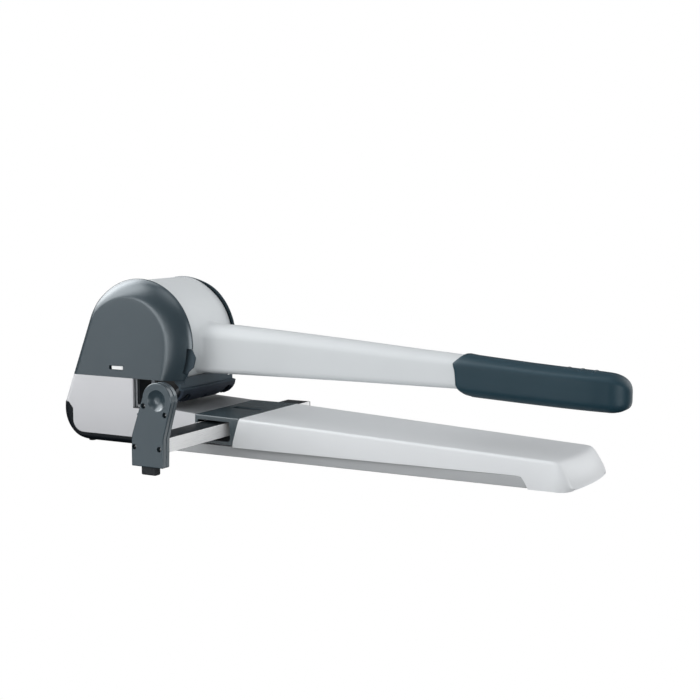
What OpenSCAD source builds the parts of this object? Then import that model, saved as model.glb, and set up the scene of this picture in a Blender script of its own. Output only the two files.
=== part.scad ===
// Heavy duty two-hole punch: long lever, rack-driven punches, sliding paper guide.
// Origin on the desk under the punch line; +X towards the grip, -Y the guide-rail side, +Z up.

/* [Head] */
// Full width of the head over its flat sides
head_w = 107; // [100:1:112]
// Height of the seam between the lower housing and the covers
seam_z = 74.8; // [74:0.2:76]
// Distance of the main axis behind the punch line
axis_back = 15.5; // [15:0.1:16]
// Height of the main axis above the desk
axis_z = 113.4; // [113:0.1:114]
// Outer radius of the lever drum
drum_r = 65; // [64:0.1:65.4]
// Outer radius of the side covers' rims
rim_r = 69.6; // [69:0.1:70]

/* [Punch] */
// Distance between the two holes
hole_pitch = 80; // [79.5:0.1:80.5]
// Diameter of the punched hole
pin_d = 6; // [5:0.1:6.5]
// Distance from the paper edge to the hole centres
margin = 12; // [11:0.5:12]
// Height of the table at the punches
table_z = 46.5; // [46:0.1:47]
// Gear module of the lever pinions
gear_m = 2.5; // [2.5:0.5:2.5]
// Teeth on a full pinion
gear_n = 22; // [22:1:22]

/* [Lever] */
// Where the arm ends and the grip begins
arm_end = 345; // [330:1:350]
// End of the grip
grip_end = 524; // [515:1:530]

/* [Base] */
// Half width of the base body at the saddle
base_hw = 60.6; // [59:0.1:62]
// End of the flat top of the base
top_end = 466.3; // [455:1:470]
// Front end of the nose
nose_end = 490; // [485:1:495]

/* [Guide rail] */
// Width of the rail
rail_w = 30.4; // [28:0.1:31]
// Height of the rail
rail_h = 14; // [12:0.5:14]
// Near end of the rail, inside the bracket
rail_near = -170; // [-172:1:-168]
// Far end of the rail
rail_far = 119; // [100:1:130]

/* [Hidden] */
$fn = 64;
ax = -axis_back;
az = axis_z;
hw = head_w/2;
hp = hole_pitch/2;
pr = pin_d/2;
wall = 3;
rpitch = gear_m*gear_n/2;
rx = ax + rpitch;          // rack pitch line
rail_x = 89;
rail_top = 35.5;
s0 = 66.7;                 // saddle start
s1 = 123.3;                // saddle end
eps = 0.01;

// ---------- helpers ----------
// extrude a drawing in the X-Z plane from y0 to y1
module ey(y0, y1) translate([0, y1, 0]) rotate([90, 0, 0]) linear_extrude(height = y1 - y0) children();
// a round bar along Y
module cy(x, z, r, y0, y1) translate([x, y0, z]) rotate([-90, 0, 0]) cylinder(r = r, h = y1 - y0);
// a round bar along X
module cx(y, z, r, x0, x1) translate([x0, y, z]) rotate([0, 90, 0]) cylinder(r = r, h = x1 - x0);
module cz(x, y, r, z0, z1) translate([x, y, z0]) cylinder(r = r, h = z1 - z0);
module box(x0, x1, y0, y1, z0, z1) translate([x0, y0, z0]) cube([x1 - x0, y1 - y0, z1 - z0]);
function arc(x, z, r, a0, a1, n = 12) = [for (i = [0:n]) let(a = a0 + (a1 - a0)*i/n) [x + r*cos(a), z + r*sin(a)]];
// ring sector about the main axis, drawn in the X-Z plane
module ringsec(ri, ro, a0, a1) translate([ax, az]) difference() {
  intersection() {
    circle(r = ro, $fn = 128);
    polygon(concat([[0, 0]], [for (i = [0:8]) let(a = a0 + (a1 - a0)*i/8) [2*ro*cos(a), 2*ro*sin(a)]]));
  }
  circle(r = ri, $fn = 128);
}
// rear plane of the head
function rearx(z) = -104 + 0.39*(z - 75);
// half width of the lower housing
function hx(x) = x < -18 ? hw : hw + (x + 18)*4.4/84.7;
// height of the table top
function tz(x) = x < 13 ? table_z : table_z - (x - 13)*3.3/53.7;

// ---------- base ----------
module base_frame() color("#8a8f94") difference() {
  union() {
    box(-90, 66, -46.3, 46.3, 5.4, 7.4);
    box(-85, 46, -49.5, 49.5, 5.4, 7.4);
    box(60, 440, -50, 50, 5.4, 7.4);
    for (s = [-1, 1]) box(130, 430, s*30 - 1.5, s*30 + 1.5, 7.4, 12);
  }
  for (x = [170:60:410]) cz(x, 0, 12, 5, 8);
  for (x = [-83.5, 40, 150, 380]) for (s = [-1, 1]) cz(x, s*42, 2.1, 5, 8);
}

module bottom_profile() polygon(concat(
  [[20, 1.8], [20, 10.5]],
  arc(-96, 24, 13.5, 270, 180, 8),
  [[-109.5, 36.5], [-116.2, 43.6], [-117.4, 40]],
  arc(-84, 35.3, 33.5, 180, 270, 12)));

module bottom_shell() color("#2a3236") difference() {
  intersection() {
    ey(-hw, hw) bottom_profile();
    plan(0);
  }
  // inside and the drawer window at the back
  box(-200, -111, -46.6, 46.6, 5.3, 34.8);
  box(-112, 30, -50.4, 50.4, 5.3, 60);
  for (x = [-83.5, 10]) for (s = [-1, 1]) cz(x, s*42, 2.1, 1, 6);
}

// plan outline of the lower head, rounded at the back corners
module plan(o, z0 = 0, z1 = 80) translate([0, 0, z0]) linear_extrude(height = z1 - z0)
  polygon(concat(
    [[s0, hx(s0) - o], [-18, hw - o]],
    [for (i = [0:6]) let(a = 90 + i*15) [-107.5 + o + (10)*cos(a), hw - o - 10 + 10*sin(a)]],
    [for (i = [0:6]) let(a = 180 + i*15) [-107.5 + o + (10)*cos(a), -hw + o + 10 + 10*sin(a)]],
    [[-18, -hw + o], [s0, -hx(s0) + o]]));

module rear_profile(o = 0) polygon(concat(
  [[-18 , seam_z + o*10], [rearx(seam_z) + o, seam_z + o*10], [rearx(43.7) + o, 43.7], [-109.5 + o, 36.5]],
  arc(-96, 24, 13.5 - o, 180, 270, 8),
  [[s0 + o*10, 10.5 - o*10], [s0 + o*10, tz(s0) - 0.4], [13, 46.1], [8, 42.5], [-18, 42.5]]));

module rear_housing() color("#d2d3d6") difference() {
  intersection() {
    ey(-hx(s0), hx(s0)) rear_profile();
    plan(0);
  }
  intersection() {
    union() {
      ey(-hx(s0), hx(s0)) polygon(concat(
        [[-15, seam_z + 5], [rearx(seam_z) + wall, seam_z + 5], [rearx(seam_z) + wall, seam_z], [rearx(43.7) + wall, 43.7], [-106.5, 36.5]],
        arc(-96, 24, 10.5, 180, 270, 8), [[-96, 5], [s0 + 5, 5], [s0 + 5, 60], [-15, 60]]));
      box(-200, -90, -46.6, 46.6, 7, 35);
    }
    plan(wall, 0, 90);
  }
  box(-200, -100, -46.6, 46.6, 7, 34.6);
  // seat of the table plate
  intersection() {
    ey(-60, 60) polygon([[-17.95, 42.5], [13, 42.5], [s0 + 1, tz(s0 + 1) - 4], [s0 + 1, 60], [-17.95, 60]]);
    linear_extrude(height = 60) polygon([[-17.95, hw - 1.55], [s0 + 1, hx(s0 + 1) - 1.55], [s0 + 1, -hx(s0 + 1) + 1.55], [-17.95, -hw + 1.55]]);
  }
}

module table_plate() color("#a9acae") difference() {
  intersection() {
    ey(-60, 60) polygon([[-17.9, table_z], [13, table_z], [s0, tz(s0)], [s0, tz(s0) - 3.9], [13, 42.6], [-17.9, 42.6]]);
    linear_extrude(height = 60) polygon([[-17.9, hw - 1.6], [s0, hx(s0) - 1.6], [s0, -hx(s0) + 1.6], [-17.9, -hw + 1.6]]);
  }
  for (s = [-1, 1]) { cz(0, s*hp, 6, 40, 50); box(-20, -14.8, s > 0 ? 46.3 : -60, s > 0 ? 60 : -46.3, 40, 50); }
}

module die_bushes() color("#c9ccce") for (s = [-1, 1]) difference() {
  union() { cz(0, s*hp, 6, 38.5, table_z); cz(0, s*hp, 7.5, 38.5, 42.6); }
  cz(0, s*hp, pr + 0.05, 38, 50);
  cz(0, s*hp, pr + 0.6, 38, 42);
}

module backstop() color("#343d42") difference() {
  union() {
    box(-margin - 2.4, -margin, -49, 49, table_z, seam_z);
    box(-34, -margin - 2.4, -46.2, 46.2, table_z, table_z + 3);
    for (y = [-30, 0, 30]) ey(y - 1.5, y + 1.5) polygon([[-14.4, table_z + 3], [-14.4, 70], [-32, table_z + 3]]);
  }
}

module under_plate() color("#a0a7a7") difference() {
  ey(-57, 57) polygon(concat([[20.2, 1], [20.2, 10.4], [s0, 10.4], [s0, 11.9], [431, 11.9]], arc(431, 1, 10.9, 80, 0, 6)));
  box(10, 460, -54.4, 54.4, 5.3, 20);
  box(0, 460, -50, 50, 0, 3);
  for (x = [40, 150, 380]) for (s = [-1, 1]) cz(x, s*42, 2.1, 2, 6);
}

// ---------- base front ----------
module yz(x, pts) translate([x, 0, 0]) rotate([90, 0, 90]) linear_extrude(height = 0.5) polygon(pts);
module front_solid(o) hull() {
  yz(s1 - 0, [[-62.6 + o, 11], [-base_hw + o, 42.5 - o], [base_hw - o, 42.5 - o], [62.6 - o, 11]]);
  yz(top_end - 0.5 - o, [[-59 + o, 0.6], [-47.7 + o, 27.5 - o], [47.7 - o, 27.5 - o], [59 - o, 0.6]]);
  translate([0, 0, 0.6]) linear_extrude(height = 0.5) polygon(concat(
    [for (i = [0:6]) let(a = i*15) [nose_end - 3 - o - 14 + 14*cos(a), 59 - o - 14 + 14*sin(a)]],
    [for (i = [0:6]) let(a = -90 + i*15) [nose_end - 3 - o - 14 + 14*cos(a), -59 + o + 14 + 14*sin(a)]],
    [[300, -59.8 + o], [300, 59.8 - o]]));
  translate([0, 0, 11]) linear_extrude(height = 1) polygon(concat(
    [for (i = [0:6]) let(a = i*15) [nose_end - o - 15 + 15*cos(a), 54.6 - o - 15 + 15*sin(a)]],
    [for (i = [0:6]) let(a = -90 + i*15) [nose_end - o - 15 + 15*cos(a), -54.6 + o + 15 + 15*sin(a)]]));
  translate([0, 0, 20 - o]) linear_extrude(height = 1) polygon(concat(
    [for (i = [0:6]) let(a = i*15) [nose_end - 5 - o - 15 + 15*cos(a), 50.4 - o - 15 + 15*sin(a)]],
    [for (i = [0:6]) let(a = -90 + i*15) [nose_end - 5 - o - 15 + 15*cos(a), -50.4 + o + 15 + 15*sin(a)]]));
}
module front_housing() color("#c3c6c8") difference() {
  intersection() { front_solid(0); box(s1, 500, -80, 80, 0, 60); }
  difference() { front_solid(wall); box(440, 500, -80, 80, 0, 1.6); }
  // recess for the under plate, with a rounded front end
  ey(-80, 80) polygon(concat([[s1 - 10, -5], [s1 - 10, 12], [431, 12]], arc(431, 1, 11, 80, 0, 6), [[442, -5]]));
  for (s = [-1, 1]) cz(456, s*44, 5, -1, 1.6);
}

module rubber_feet() color("#26292b") {
  for (s = [-1, 1]) { cz(-83.5, s*42, 4, 0, 1.8); cz(-83.5, s*42, 2, 1.8, 7.4);
    cz(456, s*44, 5, 0, 1.6);
    cz(150, s*42, 6, 0, 3); cz(150, s*42, 2, 3, 7.4); }
}
module rest_pad() color("#26292b") box(-10, 10, -30, 30, 0, 1.8);

// ---------- saddle ----------
module saddle_solid(o) hull() {
  translate([s0 + o, 0, 0]) rotate([90, 0, 90]) linear_extrude(height = 0.2) polygon([[-59.2 + o, 14], [-58 + o, 43.1 - o], [58 - o, 43.1 - o], [59.2 - o, 14]]);
  translate([s1 - 0.2 - o, 0, 0]) rotate([90, 0, 90]) linear_extrude(height = 0.2) polygon([[-62.2 + o, 14], [-base_hw + o, 42.5 - o], [base_hw - o, 42.5 - o], [62.2 - o, 14]]);
}
module rail_housing() color("#3c474c") difference() {
  union() {
    saddle_solid(0);
    for (s = [-1, 1]) box(s0 + 8, s1 - 8, min(s*46, s*52), max(s*46, s*52), 7.4, 14);
  }
  difference() {
    translate([0, 0, 0]) hull() {
      translate([s0 - 1, 0, 0]) rotate([90, 0, 90]) linear_extrude(height = 0.2) polygon([[-56, 13], [-55, 40.2], [55, 40.2], [56, 13]]);
      translate([s1 + 0.8, 0, 0]) rotate([90, 0, 90]) linear_extrude(height = 0.2) polygon([[-59, 13], [-57.6, 39.6], [57.6, 39.6], [59, 13]]);
    }
    for (s = [-1, 1]) box(s0 + 8, s1 - 8, min(s*46, s*52), max(s*46, s*52), 7, 17);
  }
  // rail mouths on both sides
  for (s = [-1, 1]) ey(min(s*50, s*70), max(s*50, s*70)) polygon(concat([[70, 17.5], [69.5, 38], [110.5, 38]], [[110.5, 20], [108, 17.5]]));
  // window over the scale, with a lens seat
  box(76, 112, -4, 8, 36, 50);
  box(74.5, 113.5, -5.5, 9.5, 36, 41.6);
}
module window_lens() color([0.8, 0.85, 0.88, 0.5]) box(74.6, 113.4, -5.4, 9.4, 40.3, 41.6);

module rail_guide() color("#2b3135") difference() {
  box(s0 + 1, s0 + 44, -45.5, 45.5, 7.4, 38.8);
  box(rail_x - rail_w/2 - 0.08, rail_x + rail_w/2 + 0.08, -60, 60, rail_top - rail_h - 0.05, 50);
  box(74, 114, -10, 14, 35, 45);
}
module brake_spring() color("#b9bdc0") {
  for (s = [-1, 1]) ey(s*34 - 8, s*34 + 8) polygon([[s0 + 1, 38.8], [s0 + 44, 38.8], [s0 + 44, 39.4], [s0 + 1, 39.4]]);
  for (s = [-1, 1]) ey(s*34 - 5, s*34 + 5) polygon([[82, 38.8], [86, 35.7], [92, 35.7], [96, 38.8], [95.2, 38.8], [91.7, 36.3], [86.3, 36.3], [82.8, 38.8]]);
}

// ---------- frames and guides ----------
module side_frame(s) color("#9aa0a4") difference() {
  ey(min(s*46.5, s*49.5), max(s*46.5, s*49.5)) difference() {
    polygon(concat([[-84, 7.4], [45, 7.4], [45, 38], [-14.9, 38], [-14.9, seam_z + 0.2], [26, seam_z + 0.2], [26, 90]],
      arc(ax, az, 25, 20, 150, 14), [[-62, 92], [-84, 50]]));
    translate([ax, az]) circle(r = 9);
    translate([-44, 62]) circle(r = 4.05);
    translate([-74, 52]) circle(r = 4.05);
    translate([-74, 22]) circle(r = 4.05);
    polygon([[-35, seam_z + 0.2], [-5, seam_z + 0.2], [-5, 80], [-35, 80]]);
    // slot for the lock pin
    if (s < 0) polygon([[-44, 97.8], [-35.8, 97.8], [-35.8, 102.2], [-44, 102.2]]);
  }
}
module side_frame_left() side_frame(1);
module side_frame_right() side_frame(-1);

module tie_rods() color("#b9bdc0") for (p = [[-44, 62], [-74, 52]]) {
  cy(p[0], p[1], 4, -50.3, 50.3);
  cy(p[0], p[1], 6, -46.45, 46.45);
}
module tie_rod_nuts() color("#8f9498") for (p = [[-44, 62], [-74, 52]]) for (s = [-1, 1])
  difference() { cy(p[0], p[1], 6.5, min(s*49.5, s*50.35), max(s*49.5, s*50.35)); cy(p[0], p[1], 4.02, -60, 60); }

module guide_plate() color("#9aa0a4") difference() {
  union() {
    box(-46, 26, -46.4, 46.4, seam_z + 0.2, 80);
    box(-34.9, -5.1, -49.5, 49.5, seam_z + 0.3, 79.9);
  }
  for (s = [-1, 1]) {
    cz(0, s*hp, 6, 70, 90);
    box(8.9, 20.6, s*30 - 3.6, s*30 + 3.6, 70, 90);
  }
}
module guide_bushes() color("#b08d4a") for (s = [-1, 1]) difference() {
  union() { cz(0, s*hp, 6, seam_z + 0.2, 82); cz(0, s*hp, 6.4, 80, 82); }
  cz(0, s*hp, pr + 0.05, 70, 90);
}

module main_shaft() color("#b9bdc0") difference() {
  cy(ax, az, 7, -50.8, 50.8);
  for (s = [-1, 1]) difference() { cy(ax, az, 8, min(s*49.7, s*50.3), max(s*49.7, s*50.3)); cy(ax, az, 6, -60, 60); }
}
module shaft_bushes() color("#b08d4a") for (s = [-1, 1]) difference() {
  union() { cy(ax, az, 9, min(s*45, s*49.5), max(s*45, s*49.5)); cy(ax, az, 11, min(s*45, s*46.45), max(s*45, s*46.45)); }
  cy(ax, az, 7.01, -60, 60);
}
module shaft_clips() color("#6d7276") for (s = [-1, 1]) difference() {
  cy(ax, az, 10, min(s*49.72, s*50.28), max(s*49.72, s*50.28));
  cy(ax, az, 6.02, -60, 60);
  box(ax - 3, ax + 3, -60, 60, az - 12, az);
}

// ---------- covers ----------
module slab(s, y, c, r, xr, fr) translate([0, s*y, 0]) rotate([90, 0, 0]) translate([0, 0, -0.2]) linear_extrude(height = 0.4)
  polygon(concat([[fr, seam_z]],
    [for (i = [0:18]) let(a = -20 + i*10.3) [c[0] + r*cos(a), c[1] + r*sin(a)]],
    [[xr, seam_z]]));
module cover_solid(s, o) hull() {
  slab(s, 42, [ax, az], rim_r - o, rearx(seam_z) + o, ax + sqrt(pow(rim_r - o, 2) - pow(az - seam_z, 2)));
  slab(s, 48 - o, [ax - 0.5, az], rim_r - 2.6 - o, rearx(seam_z) + 1.6 + o, 38 - o);
  slab(s, 51.6 - o, [ax - 4, az], 58.5 - o, rearx(seam_z) + 7 + o, 29 - o);
  slab(s, hw - 0.2 - o, [-25, az + 0.6], 49 - o, rearx(seam_z) + 20 + o, 19 - o);
}
module side_cover(s) color("#4d585d") difference() {
  intersection() { cover_solid(s, 0); box(-150, 80, s > 0 ? 41.8 : -60, s > 0 ? 60 : -41.8, seam_z + 0.05, 190); }
  cover_solid(s, 2.5);
  box(rearx(seam_z) + 2.5, 30, s > 0 ? 0 : -51, s > 0 ? 51 : 0, 70, 78);
  ey(s > 0 ? 40 : -43, s > 0 ? 43 : -40) polygon(concat([[30, 70], [-80, 70]], arc(ax, az, rim_r - 2.5, 175, -33, 30)));
  // notch in the rim beside the guard cheek
  ey(s > 0 ? 40 : -46, s > 0 ? 46 : -40) ringsec(60, 75, -27, -3);
  if (s < 0) box(-49.6, -30.8, -60, -50, 82.9, 87.6);
}
module side_cover_left() side_cover(1);
module side_cover_right() side_cover(-1);

module rear_panel() color("#4d585d") ey(-41.7, 41.7) polygon(concat(
  arc(ax, az, 68.4, 147, 158.7, 4), [[rearx(seam_z) + 0.3, seam_z + 0.05], [rearx(seam_z) + 3, seam_z + 0.05]], arc(ax, az, 66, 158.7, 147, 4)));

module shroud(s) color("#2a3236") {
  ey(s > 0 ? 15.5 : -46.4, s > 0 ? 46.4 : -15.5) ringsec(57.6, 59.9, -36, 150);
  ey(s > 0 ? 42 : -46.4, s > 0 ? 46.4 : -42) ringsec(26, 59.9, 132, 150);
}
module shroud_left() shroud(1);
module shroud_right() shroud(-1);

module housing_screws() color("#6d7276") {
  for (s = [-1, 1]) { cz(40, s*42, 2, 3, 7.4); cz(40, s*42, 4, 1.8, 3); cz(380, s*42, 2, 3, 7.4); cz(380, s*42, 4, 1.8, 3);
    cz(10, s*42, 2, 1.7, 5.3); cz(10, s*42, 3.6, 0.4, 1.8); }
}

// torsion spring round the hub, one leg down on the guide plate
sp_r = 16.4;
sp_w = 1.25;
sp_n = 80;
sp_path = concat([[-sp_r, 16.2, -33.3]],
  [for (i = [0:sp_n]) let(a = 180 - i*360*3.5/sp_n) [sp_r*cos(a), 16.2 + i*9.2/sp_n, sp_r*sin(a)]],
  [[sp_r, 25.4, -20]]);
function unit(v) = v/norm(v);
module return_spring() color("#c5c9cb") translate([ax, 0, az]) {
  n = len(sp_path);
  k = 8;
  polyhedron(points = [for (i = [0:n - 1]) let(
      t = unit(sp_path[min(i + 1, n - 1)] - sp_path[max(i - 1, 0)]),
      u = unit(cross(t, [0, 1, 0])), v = cross(u, t))
      for (j = [0:k - 1]) sp_path[i] + sp_w*(cos(j*360/k)*u + sin(j*360/k)*v)],
    faces = concat([[for (j = [0:k - 1]) j]],
      [for (i = [0:n - 2]) for (j = [0:k - 1]) [i*k + j, (i + 1)*k + j, (i + 1)*k + (j + 1)%k, i*k + (j + 1)%k]],
      [[for (j = [k - 1:-1:0]) (n - 1)*k + j]]));
}

// ---------- lever ----------
function rr(w, z0, z1, r) = concat(
  [for (i = [0:4]) let(a = i*22.5) [w - r + r*cos(a), z1 - r + r*sin(a)]],
  [for (i = [0:4]) let(a = 90 + i*22.5) [-w + r + r*cos(a), z1 - r + r*sin(a)]],
  [for (i = [0:4]) let(a = 180 + i*22.5) [-w + r + r*cos(a), z0 + r + r*sin(a)]],
  [for (i = [0:4]) let(a = 270 + i*22.5) [w - r + r*cos(a), z0 + r + r*sin(a)]]);
module arm_solid(o) hull() {
  yz(38, rr(20 - o, 80 + o, 136 - o, 8));
  yz(93, rr(20 - o, 81.6 + o, 132.8 - o, 8));
  yz(232, rr(18.5 - o, 82.9 + o, 124.6 - o, 8));
  yz(arm_end - 0.5, rr(17 - o, 83.3 + o, 117 - o, 8));
}
bar_dz = -22.4/505.5;
module bar(o, x0, x1) ey(-8 - o, 8 + o) polygon([[x0, az + bar_dz*(x0 - ax) - 6 - o], [x1, az + bar_dz*(x1 - ax) - 6 - o], [x1, az + bar_dz*(x1 - ax) + 6 + o], [x0, az + bar_dz*(x0 - ax) + 6 + o]]);
module lever_shell() color("#d0d3d5") difference() {
  union() {
    ey(-38.8, 38.8) ringsec(62.2, drum_r, -34.5, 145);
    ey(-41.5, 41.5) ringsec(62.2, drum_r, 2, 145);
    difference() { arm_solid(0); cy(ax, az, 62.2, -50, 50); }
  }
  difference() { arm_solid(3); box(arm_end - 8, 400, -30, 30, 0, 200); for (x = [130, 300]) cz(x, 0, 5, 0, az + bar_dz*(x - ax) - 6); }
  bar(0.05, 100, 400);
  for (x = [130, 300]) cz(x, 0, 2.1, 60, az);
  for (a = [60, 120]) translate([ax, 0, az]) rotate([0, -a, 0]) cx(0, 0, 2.1, 55, 70);
}
module lever_core() color("#8a8f94") difference() {
  union() {
    cy(ax, az, 13, -33, 33);
    bar(0, ax + 5, 490);
    for (a = [60, 120]) translate([ax, 0, az]) rotate([0, -a, 0]) box(5, 62, -8, 8, -4, 4);
  }
  cy(ax, az, 7.05, -60, 60);
  for (x = [130, 300]) cz(x, 0, 2.05, 60, az + bar_dz*(x - ax) + 3);
  for (a = [60, 120]) translate([ax, 0, az]) rotate([0, -a, 0]) cx(0, 0, 2.05, 50, 70);
  cz(470, 0, 2.05, 60, az + bar_dz*(470 - ax) + 3);
}
module lever_screws() color("#6d7276") {
  for (x = [130, 300]) { let(zb = az + bar_dz*(x - ax)) { cz(x, 0, 2, x < 200 ? 82.4 : 83.6, zb + 2); } }
  for (a = [60, 120]) translate([ax, 0, az]) rotate([0, -a, 0]) cx(0, 0, 2, 51, 64.8);
}
module grip() color("#2b3d44") difference() {
  hull() {
    yz(arm_end + 0.1, rr(17.6, 79, 117, 9));
    yz(arm_end + 6, rr(19.5, 76.4, 117.6, 10));
    yz(440, rr(19.5, 72.6, 111.7, 12));
    yz(500, rr(19.2, 69.8, 108.4, 13));
    yz(514, rr(16.5, 72, 106.2, 13));
    yz(grip_end - 0.5, rr(11, 78, 99, 9));
  }
  bar(0.05, arm_end - 10, 490.05);
  cz(470, 0, 2.1, 60, 100);
}

// ---------- gears ----------
rb = rpitch*cos(20);
function inv(a) = tan(a)*180/PI - a;
function halfang(r) = 90/gear_n - 0.12 + inv(20) - inv(r > rb ? acos(rb/r) : 0);
function tooth(k) = let(c = k*360/gear_n, rs = [for (i = [0:6]) rb + (rpitch + gear_m - rb)*i/6])
  concat([[23*cos(c - halfang(rb) - 0.3), 23*sin(c - halfang(rb) - 0.3)]],
    [for (r = rs) [r*cos(c - halfang(r)), r*sin(c - halfang(r))]],
    [for (i = [6:-1:0]) [rs[i]*cos(c + halfang(rs[i])), rs[i]*sin(c + halfang(rs[i]))]],
    [[23*cos(c + halfang(rb) + 0.3), 23*sin(c + halfang(rb) + 0.3)]]);
module pinion(s) color("#7f858a") ey(s*30 - 3, s*30 + 3) translate([ax, az]) difference() {
  union() {
    circle(r = rpitch - 1.25*gear_m);
    for (k = [-5:1]) polygon(tooth(k));
  }
  circle(r = 13.01);
}
module pinion_left() pinion(1);
module pinion_right() pinion(-1);
pit = PI*gear_m;
module rack(s) color("#7f858a") difference() {
  ey(s*30 - 3, s*30 + 3) intersection() {
    union() {
      translate([rx + 1.25*gear_m, seam_z + 0.7]) square([20 - rx - 1.25*gear_m, 122 - seam_z - 0.7]);
      for (k = [-6:1]) translate([rx, az + pit/2 + k*pit]) polygon([
        [1.25*gear_m + 0.1, -pit/4 + 0.06 - 1.25*gear_m*tan(20)], [1.25*gear_m + 0.1, pit/4 - 0.06 + 1.25*gear_m*tan(20)],
        [-gear_m, pit/4 - 0.06 - gear_m*tan(20)], [-gear_m, -pit/4 + 0.06 + gear_m*tan(20)]]);
    }
    translate([0, seam_z + 0.7]) square([40, 122 - seam_z - 0.7]);
  }
  for (z = [86.6, 91.4]) cx(s*30, z, 1.6, 10, 40);
}
module rack_left() rack(1);
module rack_right() rack(-1);
module crosshead() color("#8a8f94") difference() {
  union() {
    box(20, 27, -44.6, 44.6, 84, 94);
    for (s = [-1, 1]) box(-5.6, 21, s*hp - 4.6, s*hp + 4.6, 84, 94);
  }
  for (s = [-1, 1]) { cz(0, s*hp, pr + 0.02, 80, 100); for (z = [86.6, 91.4]) cx(s*30, z, 1.6, 10, 40); }
}
module rack_screws() color("#6d7276") for (s = [-1, 1]) for (z = [86.6, 91.4]) {
  cx(s*30, z, 1.55, 16, 27); cx(s*30, z, 2.3, 27, 28.6);
}
module punch_pins() color("#c9ccce") for (s = [-1, 1]) difference() {
  union() { cz(0, s*hp, pr, table_z - 4, 94); cz(0, s*hp, 4.4, 94, 96.5); }
  // hollow-ground cutting end
  translate([0, s*hp, table_z - 4]) rotate([90, 0, 0]) cylinder(r = 1.6, h = 20, center = true);
}
// plate on the hub with the notch that the lock pin enters
module latch_plate() color("#7f858a") ey(-35.2, -33) difference() {
  union() {
    translate([ax, az]) circle(r = 15);
    translate([ax, az]) rotate(-130) translate([0, -4.5]) square([31.5, 9]);
    ringsec(28.7, 32, -160, -122);
  }
  translate([ax, az]) circle(r = 7.4);
  translate([-41, 100]) circle(r = 2.25);
  translate([-41, 97.75]) square([6, 4.5]);
}

// ---------- guard ----------
module guard() color("#1d262b") {
  guard_shield();
  arch_pocket(hp - 10.7, 50.3);
  arch_pocket(-50.3, -hp + 10.7);
}
// closed pocket behind one of the two arches
module arch_pocket(y0, y1) {
  ey(y0, y1) ringsec(71, 72.2, -58.2, -41.5);
  ey(y0, y0 + 1.1) ringsec(71.1, 77.6, -56, -43);
  ey(y1 - 1.1, y1) ringsec(71.1, 77.6, -56, -43);
}
module guard_shield() difference() {
  union() {
    ey(-50.5, 50.5) polygon([[43.2, 71.5], [43.2, 67.3], [47.5, 66.4], [46.5, 61.5], [44, 57.4], [38.7, 52.7], [32.4, 50], [22, 49.8],
      [22, 52], [31.8, 52.3], [37.2, 54.7], [41.8, 59], [43.4, 63], [43.3, 64.6], [41, 65.6], [41, 71.5]]);
    // upright wall that closes the gap below the arm
    ey(-41.2, 41.2) polygon([[41, 71.4], [43.2, 71.4], [43, 78.2], [40.9, 78.2]]);
    for (s = [-1, 1]) ey(s > 0 ? 39.2 : -41.2, s > 0 ? 41.2 : -39.2) {
      difference() {
        ringsec(60, 72.8, -43, -1.5);
        polygon([[ax + 64.5, az], [ax + 73.5*cos(-11), az + 73.5*sin(-11)], [ax + 90, az - 14], [ax + 90, az + 10]]);
        polygon([[47, 84.2], [52.2, 89], [62, 89], [62, 60], [43.2, 60], [43.2, 76], [44.9, 80.2]]);
      }
      polygon([[34, 68], [42.1, 70.8], [42.1, 66.2], [46.1, 64.6], [43.9, 60.2], [36, 63]]);
    }
  }
  for (s = [-1, 1]) { cx(s*hp, 51.5, 9.5, 15, 60); box(15, 60, s*hp - 9.5, s*hp + 9.5, 45, 51.5); }
  cx(0, 52, 3.5, 15, 60);
  box(15, 60, -3.5, 3.5, 45, 52);
}

// ---------- lock, tray ----------
module lock_slider() color("#e8e9ea") {
  box(-46.5, -31.2, -53.3, -50.9, 83.2, 87.3);
  box(-48, -30, -50.9, -49.7, 80.5, 104);
  cy(-38, 100, 2, -50, -33.2);
}
module chip_tray() color("#30393d") difference() {
  union() {
    intersection() {
      ey(-46, 46) polygon(concat([[18, 7.9], [18, 33], [-110, 33], [-110, 34.2], [-117.2, 34.2]], arc(-84, 35.3, 33.4, 182, 233, 8)));
      plan(0.05);
    }
  }
  box(-107, 15.5, -43.5, 43.5, 10.4, 60);
  // finger pull under the back edge
  cy(-119, 24, 7, -22, 22);
}

// ---------- guide rail ----------
module rail() color("#c8cacb") difference() {
  box(rail_x - rail_w/2, rail_x + rail_w/2, rail_near, rail_far, rail_top - rail_h, rail_top);
  for (p = [[75.4, 27.6], [105.4, 27.2]]) cy(p[0], p[1], 1.95, -175, -163);
  box(rail_x - rail_w/2 + 2, rail_x + rail_w/2 - 2, rail_near - 1, rail_far + 1, rail_top - rail_h - 1, rail_top - 2.2);
}
module rail_end_cap() color("#2a3236") {
  box(rail_x - rail_w/2, rail_x + rail_w/2, rail_far, rail_far + 1.6, rail_top - rail_h, rail_top);
  box(rail_x - rail_w/2 + 2.05, rail_x + rail_w/2 - 2.05, rail_far - 8, rail_far, rail_top - rail_h, rail_top - 2.25);
}
module bracket_2d(o) offset_free(o);
module offset_free(o) union() {
  translate([103, 75.3]) circle(r = 17.3 - o);
  polygon([[86 + o, 73.5], [72.4 + o, 39], [71.8 + o, 8.4 + o], [109.4 - o, 8.4 + o], [110.2 - o, 37], [120.2 - o, 74], [103, 78]]);
}
bfy = -175.4;
bmy = -169.6;
bby = -163.8;
module bracket_cut() {
  for (p = [[87, 69], [112.4, 61.6], [75.4, 27.6], [105.4, 27.2]]) cy(p[0], p[1], 1.8, -180, -160);
  box(91 - 9.05, 91 + 9.05, -174.2, -165, 0, 16);
}
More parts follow.
